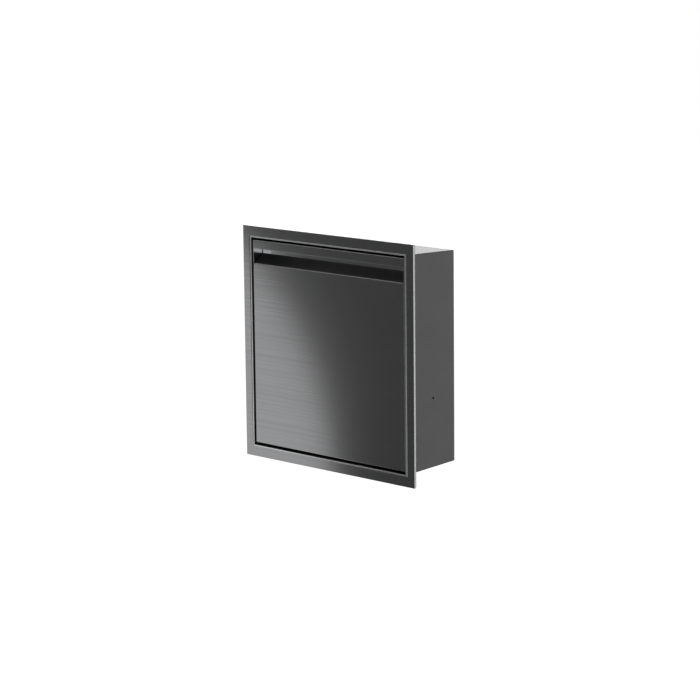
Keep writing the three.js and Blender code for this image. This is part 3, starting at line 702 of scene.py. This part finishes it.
def make_grip_end_cap(name):
    """End wall of the recess, notched to stand behind the band."""
    x0, x1, y0, y1, z0, z1 = span(f"grip_end_cap_{name}")
    notch, behind = span("drawer_upper_band")[4] - 0.3, y0 + 1.6
    section = eased([
        (y0, z0, 0.4), (y1, z0, 0.8), (y1, z1, 0.8), (behind, z1, 0.3), (behind, notch, 0.3),
        (y0, notch, 0.6),
    ])
    wall = straight("X", section, x0, x1)
    # The end wall takes the lighter steel, a painted reflection inside the recess.
    stand_in(f"grip_end_cap_{name}", wall, "drawer", "brushed_steel", bevel=0.2, material=RECESS_STEEL_PAINTED_REFLECTION)


def make_sound_pad():
    """Foam pad inside the front panel, its back face in low waves."""
    x0, x1, y0, y1, z0, z1 = span("sound_pad")
    back, swell, waves, steps = y1 - 2.2, 1.2, 40, 160
    outline = [(y0, z0), (y0, z1)]
    for i in range(steps + 1):
        wave = math.cos(2 * math.pi * waves * i / steps)
        outline.append((back - swell + swell * wave, z1 - (z1 - z0) * i / steps))
    stand_in("sound_pad", straight("X", outline, x0, x1), "drawer", "foam", bevel=0.5)


def make_drawer_plate():
    """Closing plate behind the front, stiffened by pressed ribs and held by screws."""
    x0, x1, y0, y1, z0, z1 = span("drawer_back_plate")
    half = 6
    rib = raised(y1, (0, -0.1), (1.2, 0.9), (3, 1.6), (5, 1.8))
    dome = raised(y1, (3.2, -0.1), (3.2, 0.5), (2.4, 1.1), (0.2, 1.3))
    parts = [plate("Y", [rectangle(x0, x1, z0, z1, 3)], y0, y1)]
    for z in (262, 290, 318):
        for left, right in ((-180, -14), (14, 180)):
            sides = (left, right, z - half, z + half)
            parts.append(framed("Y", sides, rib, rounding(half - 0.1), steps=6))
    for place in ((-192, 374), (0, 374), (192, 374), (-192, 232), (192, 232), (-192, 120), (192, 120)):
        parts.append(turned("Y", place, dome, count=20))
    stand_in("drawer_back_plate", merged(*parts), "drawer", "zinc")


def make_striker():
    """Angle bracket with a round eye for the latch bolt, a gusset and two screws."""
    x0, x1, y0, y1, z0, z1 = span("latch_striker")
    eye, middle = circle(4.5, *centre_of("latch_bolt")), (x0 + x1) / 2
    gusset = [(y0 + 1, z0 + 2), (y0 + 1, z1 - 1), (y0 + 13, z1 - 1)]
    parts = [
        plate("Z", [rectangle(x0, x1, y0, y1, 3), eye], z1 - 1.5, z1),
        plate("Y", [rectangle(x0, x1, z0, z1, 0.6)], y0, y0 + 1.2),
        straight("X", gusset, middle - 0.7, middle + 0.7),
    ]
    dome = raised(y0, (2.6, 1.1), (2.6, 1.8), (1.8, 2.4), (0.2, 2.5))
    for x in (x0 + 6, x1 - 6):
        parts.append(turned("Y", (x, z0 + 7), dome, count=16))
    stand_in("latch_striker", merged(*parts), "drawer", "zinc")


def make_cradle():
    """Folded tray that carries the bin, with rolled side edges and slotted sides."""
    x0, x1, y0, y1, z0, z1 = span("bin_cradle")
    sheet, side_top = 1.5, 75
    section = eased([
        (x0, z0, 3), (x1, z0, 3), (x1, side_top, 0.7), (x1 - sheet, side_top, 0.7),
        (x1 - sheet, z0 + sheet, 1.8), (x0 + sheet, z0 + sheet, 1.8), (x0 + sheet, side_top, 0.7),
        (x0, side_top, 0.7),
    ])
    tray = straight("Y", section, y0 + sheet, y1)
    slots = [
        straight("X", rectangle(y, y + 12, 62, 68, 2.9), x0 - 1, x1 + 1)
        for y in (y0 + 20 + 24 * i for i in range(4))
    ]
    for x in (-150 + 37.5 * i for i in range(9)):
        slots.append(straight("Z", rectangle(x - 4, x + 4, y0 + 30, y1 - 16, 3.9), z0 - 1, z0 + sheet + 1))
    wall = plate("Y", [rectangle(x0, x1, z0, z1, 4)], y0, y0 + sheet)
    stand_in("bin_cradle", merged(carved(tray, *slots), wall), "drawer", "zinc")


def make_bin():
    """Drawn steel bin: soft corners, slight draft, two pressed beads and a rolled rim."""
    x0, x1, y0, y1, z0, z1 = span("compactor_bin")
    rim, wall, bead, slant = 1.8, 1.2, 0.9, 0.5
    bead_heights, bead_half, bead_steps = (110, 165), 7, 8

    def side(z):
        """Inset of the outer face from the rim's outer edge at a height."""
        draft = rim + bead + slant * (z1 - z) / (z1 - z0)
        for centre in bead_heights:
            near = max(0.0, 1 - abs(z - centre) / bead_half)
            draft -= bead * math.sin(near * math.pi / 2)
        return draft

    heights = [z0 + 9]
    for centre in bead_heights:
        heights += [centre - bead_half + 2 * i for i in range(bead_steps)]
    heights.append(z1 - 4.5)
    foot = side(z0)
    section = raised(z0, (foot + 9, 0), (foot + 4, 1.2), (foot + 1.2, 4))
    section += [(side(z), z) for z in heights]
    section += raised(z1, (0.5, -4.2), (0, -3.2), (0, -1.4), (0.6, -0.4), (1.6, 0), (3.0, 0), (3.8, -0.6))
    section.append((side(z1) + wall, z1 - 2))
    section += [(side(z) + wall, z) for z in reversed(heights)]
    section += raised(z0, (foot + wall + 1.2, 5), (foot + wall + 4, 2.8), (foot + 11, 2))
    skin = framed("Z", (x0, x1, y0, y1), section, rounding(15, 4), steps=6)
    stand_in("compactor_bin", skin, "drawer", "bin_paint", sharp=50)


def make_runner(stage, name, side, body):
    """Rolled channel of a telescopic runner, with slots in its web."""
    node = f"runner_{stage}_{name}"
    x0, x1, y0, y1, z0, z1 = span(node)
    web, reach = (x1, x0) if side > 0 else (x0, x1)
    sheet, middle = 1.2, (z0 + z1) / 2
    inner = web - side * sheet
    section = eased([
        (reach, z0, 0.3), (web, z0, 1.8), (web, z1, 1.8), (reach, z1, 0.3), (reach, z1 - sheet, 0.3),
        (inner, z1 - sheet, 0.9), (inner, z0 + sheet, 0.9), (reach, z0 + sheet, 0.3),
    ])
    slots = [
        straight("X", rectangle(y - 5, y + 5, middle - 2, middle + 2, 1.95), x0 - 1, x1 + 1)
        for y in (y0 + 16 + 32 * i for i in range(3))
    ]
    stand_in(node, carved(straight("Y", section, y0, y1), *slots), body, "zinc")


# ---- ram


def make_pressure_plate():
    """Thick ram plate with round-ended grooves across its face."""
    x0, x1, y0, y1, z0, z1 = span("pressure_plate")
    grooves = [
        straight("Z", rectangle(x - 2.5, x + 2.5, y0 + 10, y1 - 10, 2.4), z0 - 1, z0 + 1.2)
        for x in (-135 + 45 * i for i in range(7))
    ]
    stand_in("pressure_plate", carved(block(x0, x1, y0, y1, z0, z1, 5), *grooves), "ram", "zinc", bevel=0.3)


def make_wiper():
    """Rubber ring under the plate, its outer edge tapered to a lip."""
    *sides, z0, z1 = span("ram_wiper")
    width = 14
    section = raised(z1, (0, -0.7), (0, 0), (width, 0))
    section += raised(z0, (width, 0.8), (width - 1, 0), (5, 0), (1.6, 1.6))
    ring = framed("Z", sides, section, rounding(9, 2), True, 5)
    stand_in("ram_wiper", ring, "ram", "rubber")


def make_skirt():
    """Sheet skirt above the plate, its top edge turned in."""
    *sides, z0, z1 = span("ram_skirt")
    wall, hem = 1.5, 4
    section = eased([
        (0, z0, 0.2), (0, z1, 0.9), (hem, z1, 0.3), (hem, z1 - wall, 0.3), (wall, z1 - wall, 0.3),
        (wall, z0, 0.2),
    ])
    skirt = framed("Z", sides, section, rounding(6, 2), True, 5)
    stand_in("ram_skirt", skirt, "ram", "zinc")


def make_crossbar():
    """Cast channel across the ram, ribbed inside, with a bore for each lead screw."""
    x0, x1, y0, y1, z0, z1 = span("ram_crossbar")
    wall = 3
    section = eased([
        (y0, z0, 0.8), (y0, z1, 2.2), (y1, z1, 2.2), (y1, z0, 0.8), (y1 - wall, z0, 0.8),
        (y1 - wall, z1 - wall, 1.2), (y0 + wall, z1 - wall, 1.2), (y0 + wall, z0, 0.8),
    ])
    bores = [
        turned("Z", centre_of(f"screw_pulley_{name}"), [(7, z0 - 1), (7, z1 + 1)])
        for name, _ in SIDES
    ]
    parts = [carved(straight("X", section, x0, x1), *bores)]
    for x in (-96, -48, 0, 48, 96):
        rib = (x - 1.2, x + 1.2, y0 + wall - 0.5, y1 - wall + 0.5, z0 + 1, z1 - wall + 0.5)
        parts.append(block(*rib, 0.4))
    stand_in("ram_crossbar", merged(*parts), "ram", "cast", bevel=0.4)


def make_column(name):
    """Square tube between the ram's plate and its crossbar."""
    *sides, z0, z1 = span(f"ram_column_{name}")
    wall = 2
    section = [(0, z0), (0, z1), (wall, z1), (wall, z0)]
    tube = framed("Z", sides, section, rounding(2.4, 1.2), True)
    stand_in(f"ram_column_{name}", tube, "ram", "cast", bevel=0.3)


def make_power_nut(name):
    """Flanged nut with rings turned round its body and a threaded bore."""
    node = f"power_nut_{name}"
    x0, x1, _, _, z0, z1 = span(node)
    flange, radius, bore = (x1 - x0) / 2, 9.5, 6.3
    profile = raised(z0, (bore + 0.5, 0), (radius - 0.8, 0), (radius, 0.8))
    for i in range(6):
        z = z0 + 2.4 + 2 * i
        profile += raised(z, (radius, 0), (radius - 0.5, 0.4), (radius - 0.5, 1), (radius, 1.4))
    profile += raised(z1, (radius, -4), (flange - 0.4, -4), (flange, -3.6), (flange, -0.4),
                      (flange - 0.4, 0), (bore + 0.5, 0))
    for i in range(7):
        z = z1 - 1 - 2.5 * i
        profile += raised(z, (bore, 0), (bore, -0.9), (bore + 0.6, -1.2), (bore + 0.6, -2.1))
    spin(node, profile, "ram", "brass", True)


# ---- drive train


def make_deck():
    """Shelf that carries the drive, with bores for its shafts, a row of slots and turned-down sides."""
    x0, x1, y0, y1, z0, z1 = span("drive_deck")
    sheet, side_back = 1.2, y1 - 6
    outlines = [rectangle(x0, x1, y0, y1, 2)]
    bores = (("screw_pulley_left", 7), ("screw_pulley_right", 7), ("drive_shaft", 4.5), ("motor_shaft", 4),
             ("latch_bolt", 3.5))
    for node, radius in bores:
        outlines.append(circle(radius, *centre_of(node), 28))
    for x in (-30 + 13 * i for i in range(5)):
        outlines.append(rectangle(x, x + 6, y0 + 44, y0 + 74, 2.9))
    parts = [plate("Z", outlines, z1 - 2, z1)]
    for left, right in ((-x1, sheet - x1), (x1 - sheet, x1)):
        parts.append(plate("X", [rectangle(y0, side_back, z0, z1 - 1, 1.2)], left, right))
    stand_in("drive_deck", merged(*parts), "cabinet", "zinc")


def make_bearing(node, bore, outer):
    """Bearing ring with a shield groove between its races."""
    z0, z1 = ends(node)
    profile = raised(z0, (bore, 0.3), (bore + 0.3, 0), (outer - 0.4, 0), (outer, 0.4))
    profile += raised(z1, (outer, -0.4), (outer - 0.4, 0), (outer - 1.2, 0), (outer - 1.3, -0.5),
                      (bore + 1.2, -0.5), (bore + 1.1, 0), (bore + 0.3, 0), (bore, -0.3))
    spin(node, profile, "cabinet", "steel", True, 40)


def make_foot_bearing(name):
    """Cast block that steadies the lower end of a lead screw, with two bolts."""
    node = f"foot_bearing_{name}"
    x0, x1, y0, y1, z0, z1 = span(node)
    x, y = centre_of(f"screw_pulley_{name}")
    bore = turned("Z", (x, y), [(6.4, z0 - 1), (6.4, z1 + 1)])
    parts = [carved(block(x0, x1, y0, y1, z0, z1, 1.5), bore)]
    for bolt_y in (y0 + 3.2, y1 - 3.2):
        parts.append(straight("Z", circle(2.4, x, bolt_y, 6), z1 - 0.2, z1 + 1.6))
    stand_in(node, merged(*parts), "cabinet", "cast", bevel=0.25)


def make_bumper(name):
    """Ribbed rubber buffer with a hollow nose."""
    node = f"drawer_bumper_{name}"
    _, _, y0, y1, _, _ = span(node)
    profile = raised(y0, (0.3, 1.2), (2.2, 1.2), (2.6, 0.2), (3.4, 0), (4.4, 0.7), (5, 1.8), (4.5, 2.4),
                     (4.5, 3), (5, 3.6))
    profile += raised(y1, (5, -0.6), (4.6, 0), (0.3, 0))
    stand_in(node, turned("Y", centre_of(node, "Y"), profile), "cabinet", "rubber")


def thread_radius(phase, root, crest):
    """Radius along one pitch of a trapezoidal thread, for a phase of 0 to 1."""
    start, climb, top = 0.18, 0.14, 0.36
    rise = min(max((phase - start) / climb, 0), 1)
    fall = min(max((phase - start - climb - top) / climb, 0), 1)
    return root + (crest - root) * (rise - fall)


def make_lead_screw(name):
    """Four-start screw of 20 mm lead between plain ends, with its thrust collar and journal."""
    node = f"lead_screw_{name}"
    z0, z1 = ends(node)
    x, y = centre_of(node)
    starts, lead, crest, root, around = 4, 20, 5.95, 4.9, 48
    low, high, collar_low, collar_high, journal_top = z0 + 10, 386, 394.4, 398, 404
    step = lead / starts / 8
    foot = raised(z0, (5.2, 0), (crest, 0.8)) + raised(low, (crest, -1.2), (root, -0.6))
    rings = [(circle(radius, x, y, around), z) for radius, z in foot]
    for i in range(int((high - low) / step)):
        z = low + i * step
        outline = []
        for j in range(around):
            angle = 2 * math.pi * j / around
            radius = thread_radius((starts * (z / lead - j / around)) % 1, root, crest)
            outline.append((x + radius * math.cos(angle), y + radius * math.sin(angle)))
        rings.append((outline, z))
    top = raised(high, (root, 0.4), (crest, 1)) + raised(collar_low, (crest, 0), (8.6, 0), (9, 0.4))
    top += raised(collar_high, (9, -0.4), (8.6, 0), (crest, 0))
    top += raised(journal_top, (crest, -0.4), (5.5, 0), (4, 0)) + raised(z1, (4, -0.6), (3.4, 0))
    rings += [(circle(radius, x, y, around), z) for radius, z in top]
    stand_in(node, loft("Z", rings), f"screw_{name}", "steel", sharp=50)


def ribbed(z0, z1, crest, root):
    """(radius, height) points of ribs that run round a belt or its pulley."""
    points = []
    pitch = (z1 - z0) / BELT_GROOVES
    for i in range(BELT_GROOVES):
        points += raised(z0 + i * pitch, (crest, 0.1), (crest, pitch * 0.25), (root, pitch * 0.45),
                         (root, pitch * 0.55), (crest, pitch * 0.8))
    return points


def make_pulley(node, body):
    """Grooved pulley with two flanges and a turned hub."""
    z0, z1 = ends(node)
    bore, rim, flange, shoulder = 4.3, 1.2, 12.5, 10.2
    profile = raised(z0, (bore, 0), (flange - 0.3, 0), (flange, 0.3))
    profile += raised(z0 + rim, (flange, -0.2), (shoulder, 0))
    profile += ribbed(z0 + rim + 0.5, z1 - rim - 0.5, 10.0, 9.3)
    profile += raised(z1 - rim, (shoulder, 0), (flange, 0.2)) + raised(z1, (flange, -0.3), (flange - 0.3, 0))
    profile += raised(z1, (8.4, 0), (8.2, -0.6), (6.2, -0.6), (6.0, 0), (bore, 0))
    spin(node, profile, body, "zinc", True, 48)


def make_belt():
    """Ribbed belt round the two screw pulleys and the drive pulley."""
    _, _, _, _, z0, z1 = span("drive_belt")
    pulleys = ("screw_pulley_left", "screw_pulley_right", "drive_pulley")
    centres = [Vector(centre_of(node)) for node in pulleys]
    inner, outer, steps = 10.3, 11.8, 12
    section = [(outer - 0.2, z0), (outer, z0 + 0.2), (outer, z1 - 0.2), (outer - 0.2, z1)]
    section += [(radius, z) for radius, z in reversed(ribbed(z0, z1, inner + 0.75, inner))]
    mesh = bmesh.new()
    rows = []
    for i, centre in enumerate(centres):
        before, after = centres[i - 1], centres[(i + 1) % 3]
        start = math.atan2(*(centre - before).yx) - math.pi / 2
        end = math.atan2(*(after - centre).yx) - math.pi / 2
        end += 2 * math.pi if end < start else 0
        for step in range(steps + 1):
            angle = start + (end - start) * step / steps
            out = Vector((math.cos(angle), math.sin(angle)))
            points = [centre + out * radius for radius, _ in section]
            rows.append([mesh.verts.new((p.x, p.y, z)) for p, (_, z) in zip(points, section)])
    stand_in("drive_belt", bridge(mesh, rows + rows[:1]), "cabinet", "rubber")


def tooth_outline(teeth, centre, phase, module=1.25):
    """Gear outline with curved flanks; phase is the angle of one tooth's middle, in teeth."""
    pitch = module * teeth / 2
    flank = ((pitch - 1.35, 2.2), (pitch - 0.5, 2.0), (pitch + 0.3, 1.55), (pitch + 0.8, 1.05),
             (pitch + 0.95, 0.75))
    outline = []
    for i in range(teeth):
        middle = (i + phase) * 2 * math.pi / teeth
        rising = [(radius, -width) for radius, width in flank]
        for radius, width in rising + list(flank[::-1]):
            angle = middle + width / 2 / radius
            outline.append((centre[0] + radius * math.cos(angle), centre[1] + radius * math.sin(angle)))
    return outline


def make_drive_gear():
    """Forty-tooth gear with a thin web, six lightening holes and a hub."""
    z0, z1 = ends("drive_gear")
    centre = centre_of("drive_gear")
    teeth, bore, hub, hole_circle, holes = 40, 4.3, 8, 13.5, 6
    rim = tooth_outline(teeth, centre, 0)
    outlines = [rim, circle(bore, *centre)]
    for i in range(holes):
        angle = math.pi * i / 3 + math.pi / 6
        x, y = centre[0] + hole_circle * math.cos(angle), centre[1] + hole_circle * math.sin(angle)
        outlines.append(circle(3.6, x, y, 20))
    web = plate("Z", outlines, z0 + 1, z1 - 1)
    ring = plate("Z", [rim, circle(20, *centre, 48)], z0, z1)
    profile = raised(z0, (bore, 0), (hub - 0.5, 0), (hub, 0.5))
    profile += raised(z1, (hub, -0.5), (hub - 0.5, 0), (bore, 0))
    stand_in("drive_gear", merged(web, ring, turned("Z", centre, profile, True)), "drive", "steel")


def make_pinion():
    """Twelve-tooth pinion with a collar."""
    z0, z1 = ends("motor_pinion")
    centre = centre_of("motor_shaft")
    bore, collar = 3.3, 4.6
    teeth = plate("Z", [tooth_outline(12, centre, 0.5), circle(bore, *centre)], z0, z1)
    ring = turned("Z", centre, [(bore, z0), (collar, z0), (collar, z1), (bore, z1)], True)
    stand_in("motor_pinion", merged(teeth, ring), "rotor", "brass")


def make_shaft(node, body, radius, flat):
    """Plain shaft with chamfered ends, a retaining groove and a thinner top as long as its flat."""
    z0, z1 = ends(node)
    profile = raised(z0, (radius - 0.5, 0), (radius, 0.5), (radius, 2), (radius - 0.4, 2.1),
                     (radius - 0.4, 3), (radius, 3.1))
    profile += raised(z1 - flat, (radius, 0), (radius - 0.25, 0.2))
    profile += raised(z1, (radius - 0.25, -0.5), (radius - 0.7, 0))
    spin(node, profile, body, "steel")


def make_motor():
    """Motor can with cooling ribs, end bells, mounting screws and a terminal block."""
    z0, z1 = ends("motor")
    x, y = centre_of("motor_shaft")
    radius, ribs, bell, bore = 22, 9, 9, 2.5
    rib_root = radius - 1.4
    profile = raised(z0, (bore, 0), (7, 0), (bell, 0.8), (bell, 4), (radius - 4, 4), (radius - 1, 5.4))
    pitch = (z1 - z0 - 13) / ribs
    for i in range(ribs):
        profile += raised(z0 + 6.5 + pitch * i, (radius, 0), (radius, pitch * 0.45),
                          (rib_root, pitch * 0.55), (rib_root, pitch * 0.9))
    profile += raised(z1, (radius, -6.5), (radius - 0.6, -5), (radius - 3, -4), (bell, -4), (bell, 0),
                      (bore, 0))
    parts = [turned("Z", (x, y), profile, count=56)]
    for i in range(3):
        angle = 2 * math.pi * i / 3
        hexagon = circle(2.6, x + 14 * math.cos(angle), y + 14 * math.sin(angle), 6)
        parts.append(straight("Z", hexagon, z1 - 4.2, z1 - 2.2))
    parts.append(block(x - 6, x + 6, y + 10, y + 17, z0 + 0.4, z0 + 5, 0.6))
    stand_in("motor", merged(*parts), "cabinet", "cast")


# ---- latch, switch and control


def make_solenoid():
    """Latch solenoid: a steel frame round a copper winding."""
    x0, x1, _, y1, z0, z1 = span("latch_solenoid")
    centre = centre_of("latch_bolt")
    y0 = centre[1] - 9
    bore, sheet, flange, turns = 3.4, 1.5, 8.8, 12
    parts = [
        plate("Z", [rectangle(x0, x1, y0, y1, 1), circle(bore, *centre)], low, high)
        for low, high in ((z0, z0 + sheet), (z1 - sheet, z1))
    ]
    for low, high in ((x0, x0 + sheet), (x1 - sheet, x1)):
        parts.append(plate("X", [rectangle(y0, y1, z0 + 1, z1 - 1, 0.5)], low, high))
    stand_in("latch_solenoid", merged(*parts), "cabinet", "plastic", material=MATERIALS["zinc"])
    profile = raised(z0, (bore + 0.1, 1.6), (flange, 1.6), (flange, 2.6), (7.4, 2.8))
    pitch = (z1 - z0 - 5.6) / turns
    for i in range(turns):
        profile += raised(z0 + 2.8 + pitch * i, (8.0, pitch * 0.25), (8.0, pitch * 0.75), (7.4, pitch))
    profile += raised(z1, (flange, -2.6), (flange, -1.6), (bore + 0.1, -1.6))
    piece("latch_winding", turned("Z", centre, profile, True, 40), "cabinet", "brass", [], material=COPPER)


def make_latch_bolt():
    """Bolt with a bullet nose and a grooved head."""
    z0, z1 = ends("latch_bolt")
    profile = raised(z0, (0.6, 0), (1.8, 0.3), (2.6, 1), (3, 2.2))
    profile += raised(z1, (3, -3.5), (4.7, -3.5), (5, -3.2), (5, -2.2), (4.5, -1.9), (4.5, -1.5), (5, -1.2),
                      (5, -0.3), (4.6, 0), (1.5, 0), (1.3, -0.8), (0.2, -0.8))
    spin("latch_bolt", profile, "latch", "steel")


def make_interlock_switch():
    """Snap switch: a case with two mounting eyes and three blade terminals."""
    x0, x1, y0, y1, z0, z1 = span("interlock_switch")
    bore = turned("Y", centre_of("switch_plunger", "Y"), [(2.4, y0 - 1), (2.4, y1 - 6)], count=24)
    eyes = [
        turned("X", place, [(1.5, x0 - 1), (1.5, x1 + 1)], count=20)
        for place in ((y0 + 4, z0 + 5), (y1 - 4, z1 - 5))
    ]
    case = carved(block(x0, x1, y0, y1, z0, z1, 1.2), bore, *eyes)
    stand_in("interlock_switch", case, "cabinet", "plastic", bevel=0.2)
    blades = [
        block(x - 1.6, x + 1.6, y1 - 0.5, y1 + 4.5, z0 + 9, z0 + 9.8, 0.3)
        for x in (x0 + 3.5, (x0 + x1) / 2, x1 - 3.5)
    ]
    piece("interlock_terminals", merged(*blades), "cabinet", "brass", [])


def make_switch_plunger():
    """Button with a round nose and a groove."""
    _, _, y0, y1, _, _ = span("switch_plunger")
    profile = raised(y0, (0.4, 0), (1.3, 0.3), (2, 1.2), (2, 4), (1.7, 4.3), (1.7, 5), (2, 5.3))
    profile += raised(y1, (2, -0.3), (1.7, 0))
    button = turned("Y", centre_of("switch_plunger", "Y"), profile, count=24)
    stand_in("switch_plunger", button, "plunger", "plastic")


def make_control_box():
    """Moulded case with a lid line, vent slots, four screws and a row of connector shrouds."""
    x0, x1, y0, y1, z0, z1 = span("control_box")
    vents, shrouds, screws = [], [], []
    for x in (x0 + 20 + 4.4 * i for i in range(8)):
        vents.append(straight("Z", rectangle(x, x + 1.8, y0 + 9, y1 - 9, 0.85), z1 - 0.9, z1 + 1))
    mouth = block(x0 + 6, x1 - 6, y0 - 1, y0 + 4, z0 + 2, z0 + 8, 0.5)
    body = carved(block(x0, x1, y0, y1, z0, z1 - 3.4, 2.5), mouth)
    lid = carved(block(x0 + 0.3, x1 - 0.3, y0 + 0.3, y1 - 0.3, z1 - 3.1, z1, 2.5), *vents)
    for x in (x0 + 8 + 11.4 * i for i in range(5)):
        shrouds.append(block(x, x + 8.6, y0 + 0.6, y0 + 3.6, z0 + 2.4, z0 + 7.4, 0.5))
    dome = raised(z1, (2, -0.6), (2, -0.1), (1.4, 0), (0.2, 0))
    for x in (x0 + 5, x1 - 5):
        for y in (y0 + 5, y1 - 5):
            screws.append(turned("Z", (x, y), dome, count=16))
    stand_in("control_box", merged(body, lid), "cabinet", "plastic")
    enamel = MATERIALS["bin_paint"]
    piece("control_box_connectors", merged(*shrouds), "cabinet", "plastic", [], material=enamel)
    piece("control_box_screws", merged(*screws), "cabinet", "steel", [])


def make_pieces():
    for make in (
        make_trim, make_shell, make_back_panel, make_power_inlet, make_front_panel, make_upper_band,
        make_grip_channel, make_sound_pad, make_drawer_plate, make_striker, make_cradle, make_bin,
        make_pressure_plate, make_wiper, make_skirt, make_crossbar, make_deck, make_belt, make_drive_gear,
        make_pinion, make_motor, make_solenoid, make_latch_bolt, make_interlock_switch,
        make_switch_plunger, make_control_box,
    ):
        make()
    for number, (x, z) in enumerate(BACK_SCREWS, 1):
        make_back_screw(number, x, z)
    make_bearing("shaft_bearing", 4.4, 9)
    make_pulley("drive_pulley", "drive")
    make_shaft("drive_shaft", "drive", 4, 14)
    make_shaft("motor_shaft", "rotor", 3, 12)
    for name, side in SIDES:
        make_grip_end_cap(name)
        make_runner("outer", name, side, "cabinet")
        make_runner("middle", name, side, f"runner_{name}")
        make_runner("inner", name, side, "drawer")
        make_column(name)
        make_power_nut(name)
        make_bearing(f"screw_bearing_{name}", 6.4, 11)
        make_foot_bearing(name)
        make_bumper(name)
        make_lead_screw(name)
        make_pulley(f"screw_pulley_{name}", f"screw_{name}")


make_pieces()

# ---- floor, lights and background


def make_floor():
    """Round pale floor below the object, which stands in a wall; reflections leave it out."""
    radius, drop = 14, 0.75
    s = Surface("pale_floor")
    tone = s.blend(s.noise((0.7, 0.7, 0.7), 3), (0.93, 0.93, 0.93), (0.96, 0.96, 0.96))
    s.set("Base Color", tone)
    s.set("Roughness", 0.9)
    s.set("Emission Color", (1, 1, 1, 1))
    s.set("Emission Strength", 1.0)
    mesh = bmesh.new()
    bmesh.ops.create_circle(mesh, cap_ends=True, radius=radius, segments=96)
    floor = linked("floor", settled(mesh, "floor"))
    floor.data.materials.append(s.material)
    floor.location = (0, 0, -drop)
    floor.visible_glossy = False
    floor.visible_diffuse = False


def soft_box(name, brightness, size, place, aim, shape="RECTANGLE"):
    """An area light of one brightness over its whole face."""
    area = size[0] * size[1] * (math.pi / 4 if shape == "ELLIPSE" else 1)
    data = bpy.data.lights.new(name, "AREA")
    data.shape = shape
    data.size, data.size_y = size
    data.energy = brightness * math.pi * area
    light = linked(name, data)
    turn = (Vector(aim) - Vector(place)).to_track_quat("-Z", "Y").to_matrix().to_4x4()
    light.matrix_world = Matrix.Translation(place) @ turn
    light.visible_camera = False
    return light


def mirrored(point, normal_axis, distance):
    """The place that the camera sees in a mirror at a point, a distance beyond the mirror."""
    eye = bpy.context.scene.camera.matrix_world.translation.copy()
    eye[normal_axis] = 2 * point[normal_axis] - eye[normal_axis]
    return point + (point - eye).normalized() * distance


def make_world():
    """White to the camera, and a dim fill to everything else."""
    fill = 0.074
    world = bpy.data.worlds.new("studio")
    bpy.context.scene.world = world
    world.use_nodes = True
    nodes, links = world.node_tree.nodes, world.node_tree.links
    nodes["Background"].inputs["Color"].default_value = (1, 1, 1, 1)
    path = nodes.new("ShaderNodeLightPath")
    mix = nodes.new("ShaderNodeMix")
    mix.inputs["A"].default_value = fill
    mix.inputs["B"].default_value = 1.0
    links.new(path.outputs["Is Camera Ray"], mix.inputs["Factor"])
    links.new(mix.outputs["Result"], nodes["Background"].inputs["Strength"])


def make_window():
    """A large oval light whose edge is seen in the brushed front as its soft diagonal shade."""
    edge_at = Vector((FRONT_CENTRE.x + 0.008, CAD_LOW.y, CAD_LOW.z - 0.03))
    edge = mirrored(edge_at, 1, 0.55)
    outwards = (edge - edge_at).cross(Vector((0, 0, 1))).normalized()
    size = (1.74, 1.7)
    centre = edge + outwards * size[0] / 2
    soft_box("window", 0.61, size, centre, centre + edge_at - edge, "ELLIPSE")


def light_recess():
    """A small light for the grip recess's left corner, which shines on nothing else."""
    corner = Vector((CAD_LOW.x + 0.03, CAD_LOW.y + 0.02, CAD_HIGH.z - 0.045))
    away = bpy.context.scene.camera.matrix_world.translation - corner
    away.z *= -1
    light = soft_box("corner", 0.9, (0.4, 0.4), corner + away.normalized() * 0.7, corner)
    recess = bpy.data.collections.new("recess")
    for name in ("grip_channel_detailed", "grip_end_cap_left_detailed"):
        recess.objects.link(bpy.data.objects[name])
    light.light_linking.receiver_collection = recess


def make_lights():
    """Lights that the camera sees mirrored in each face, and dim ones for the other sides."""
    make_window()
    higher = Vector((0, 0, 0.2))
    top = Vector((MIDDLE.x, MIDDLE.y, CAD_HIGH.z))
    soft_box("backdrop", 2.7, (2.0, 1.1), mirrored(top, 2, 1.5) + higher, top)
    edge = Vector((CAD_HIGH.x, CAD_LOW.y, MIDDLE.z))
    soft_box("side", 1.15, (1.2, 1.6), mirrored(edge, 0, 1.1) + higher, edge)
    light_recess()
    for name, brightness, size, offset in (
        ("overhead", 1.2, (0.7, 0.6), (-0.95, -0.8, 0.95)),
        ("front", 0.3, (1.1, 1.1), (0.15, -2.0, -0.1)),
        ("ceiling", 0.3, (1.6, 1.4), (0.1, 0.2, 2.2)),
        ("rear", 0.6, (1.2, 1.2), (-0.9, 1.9, -0.2)),
    ):
        soft_box(name, brightness, size, MIDDLE + Vector(offset), MIDDLE)


make_floor()
make_world()
make_lights()
bpy.context.scene.view_settings.view_transform = "Standard"
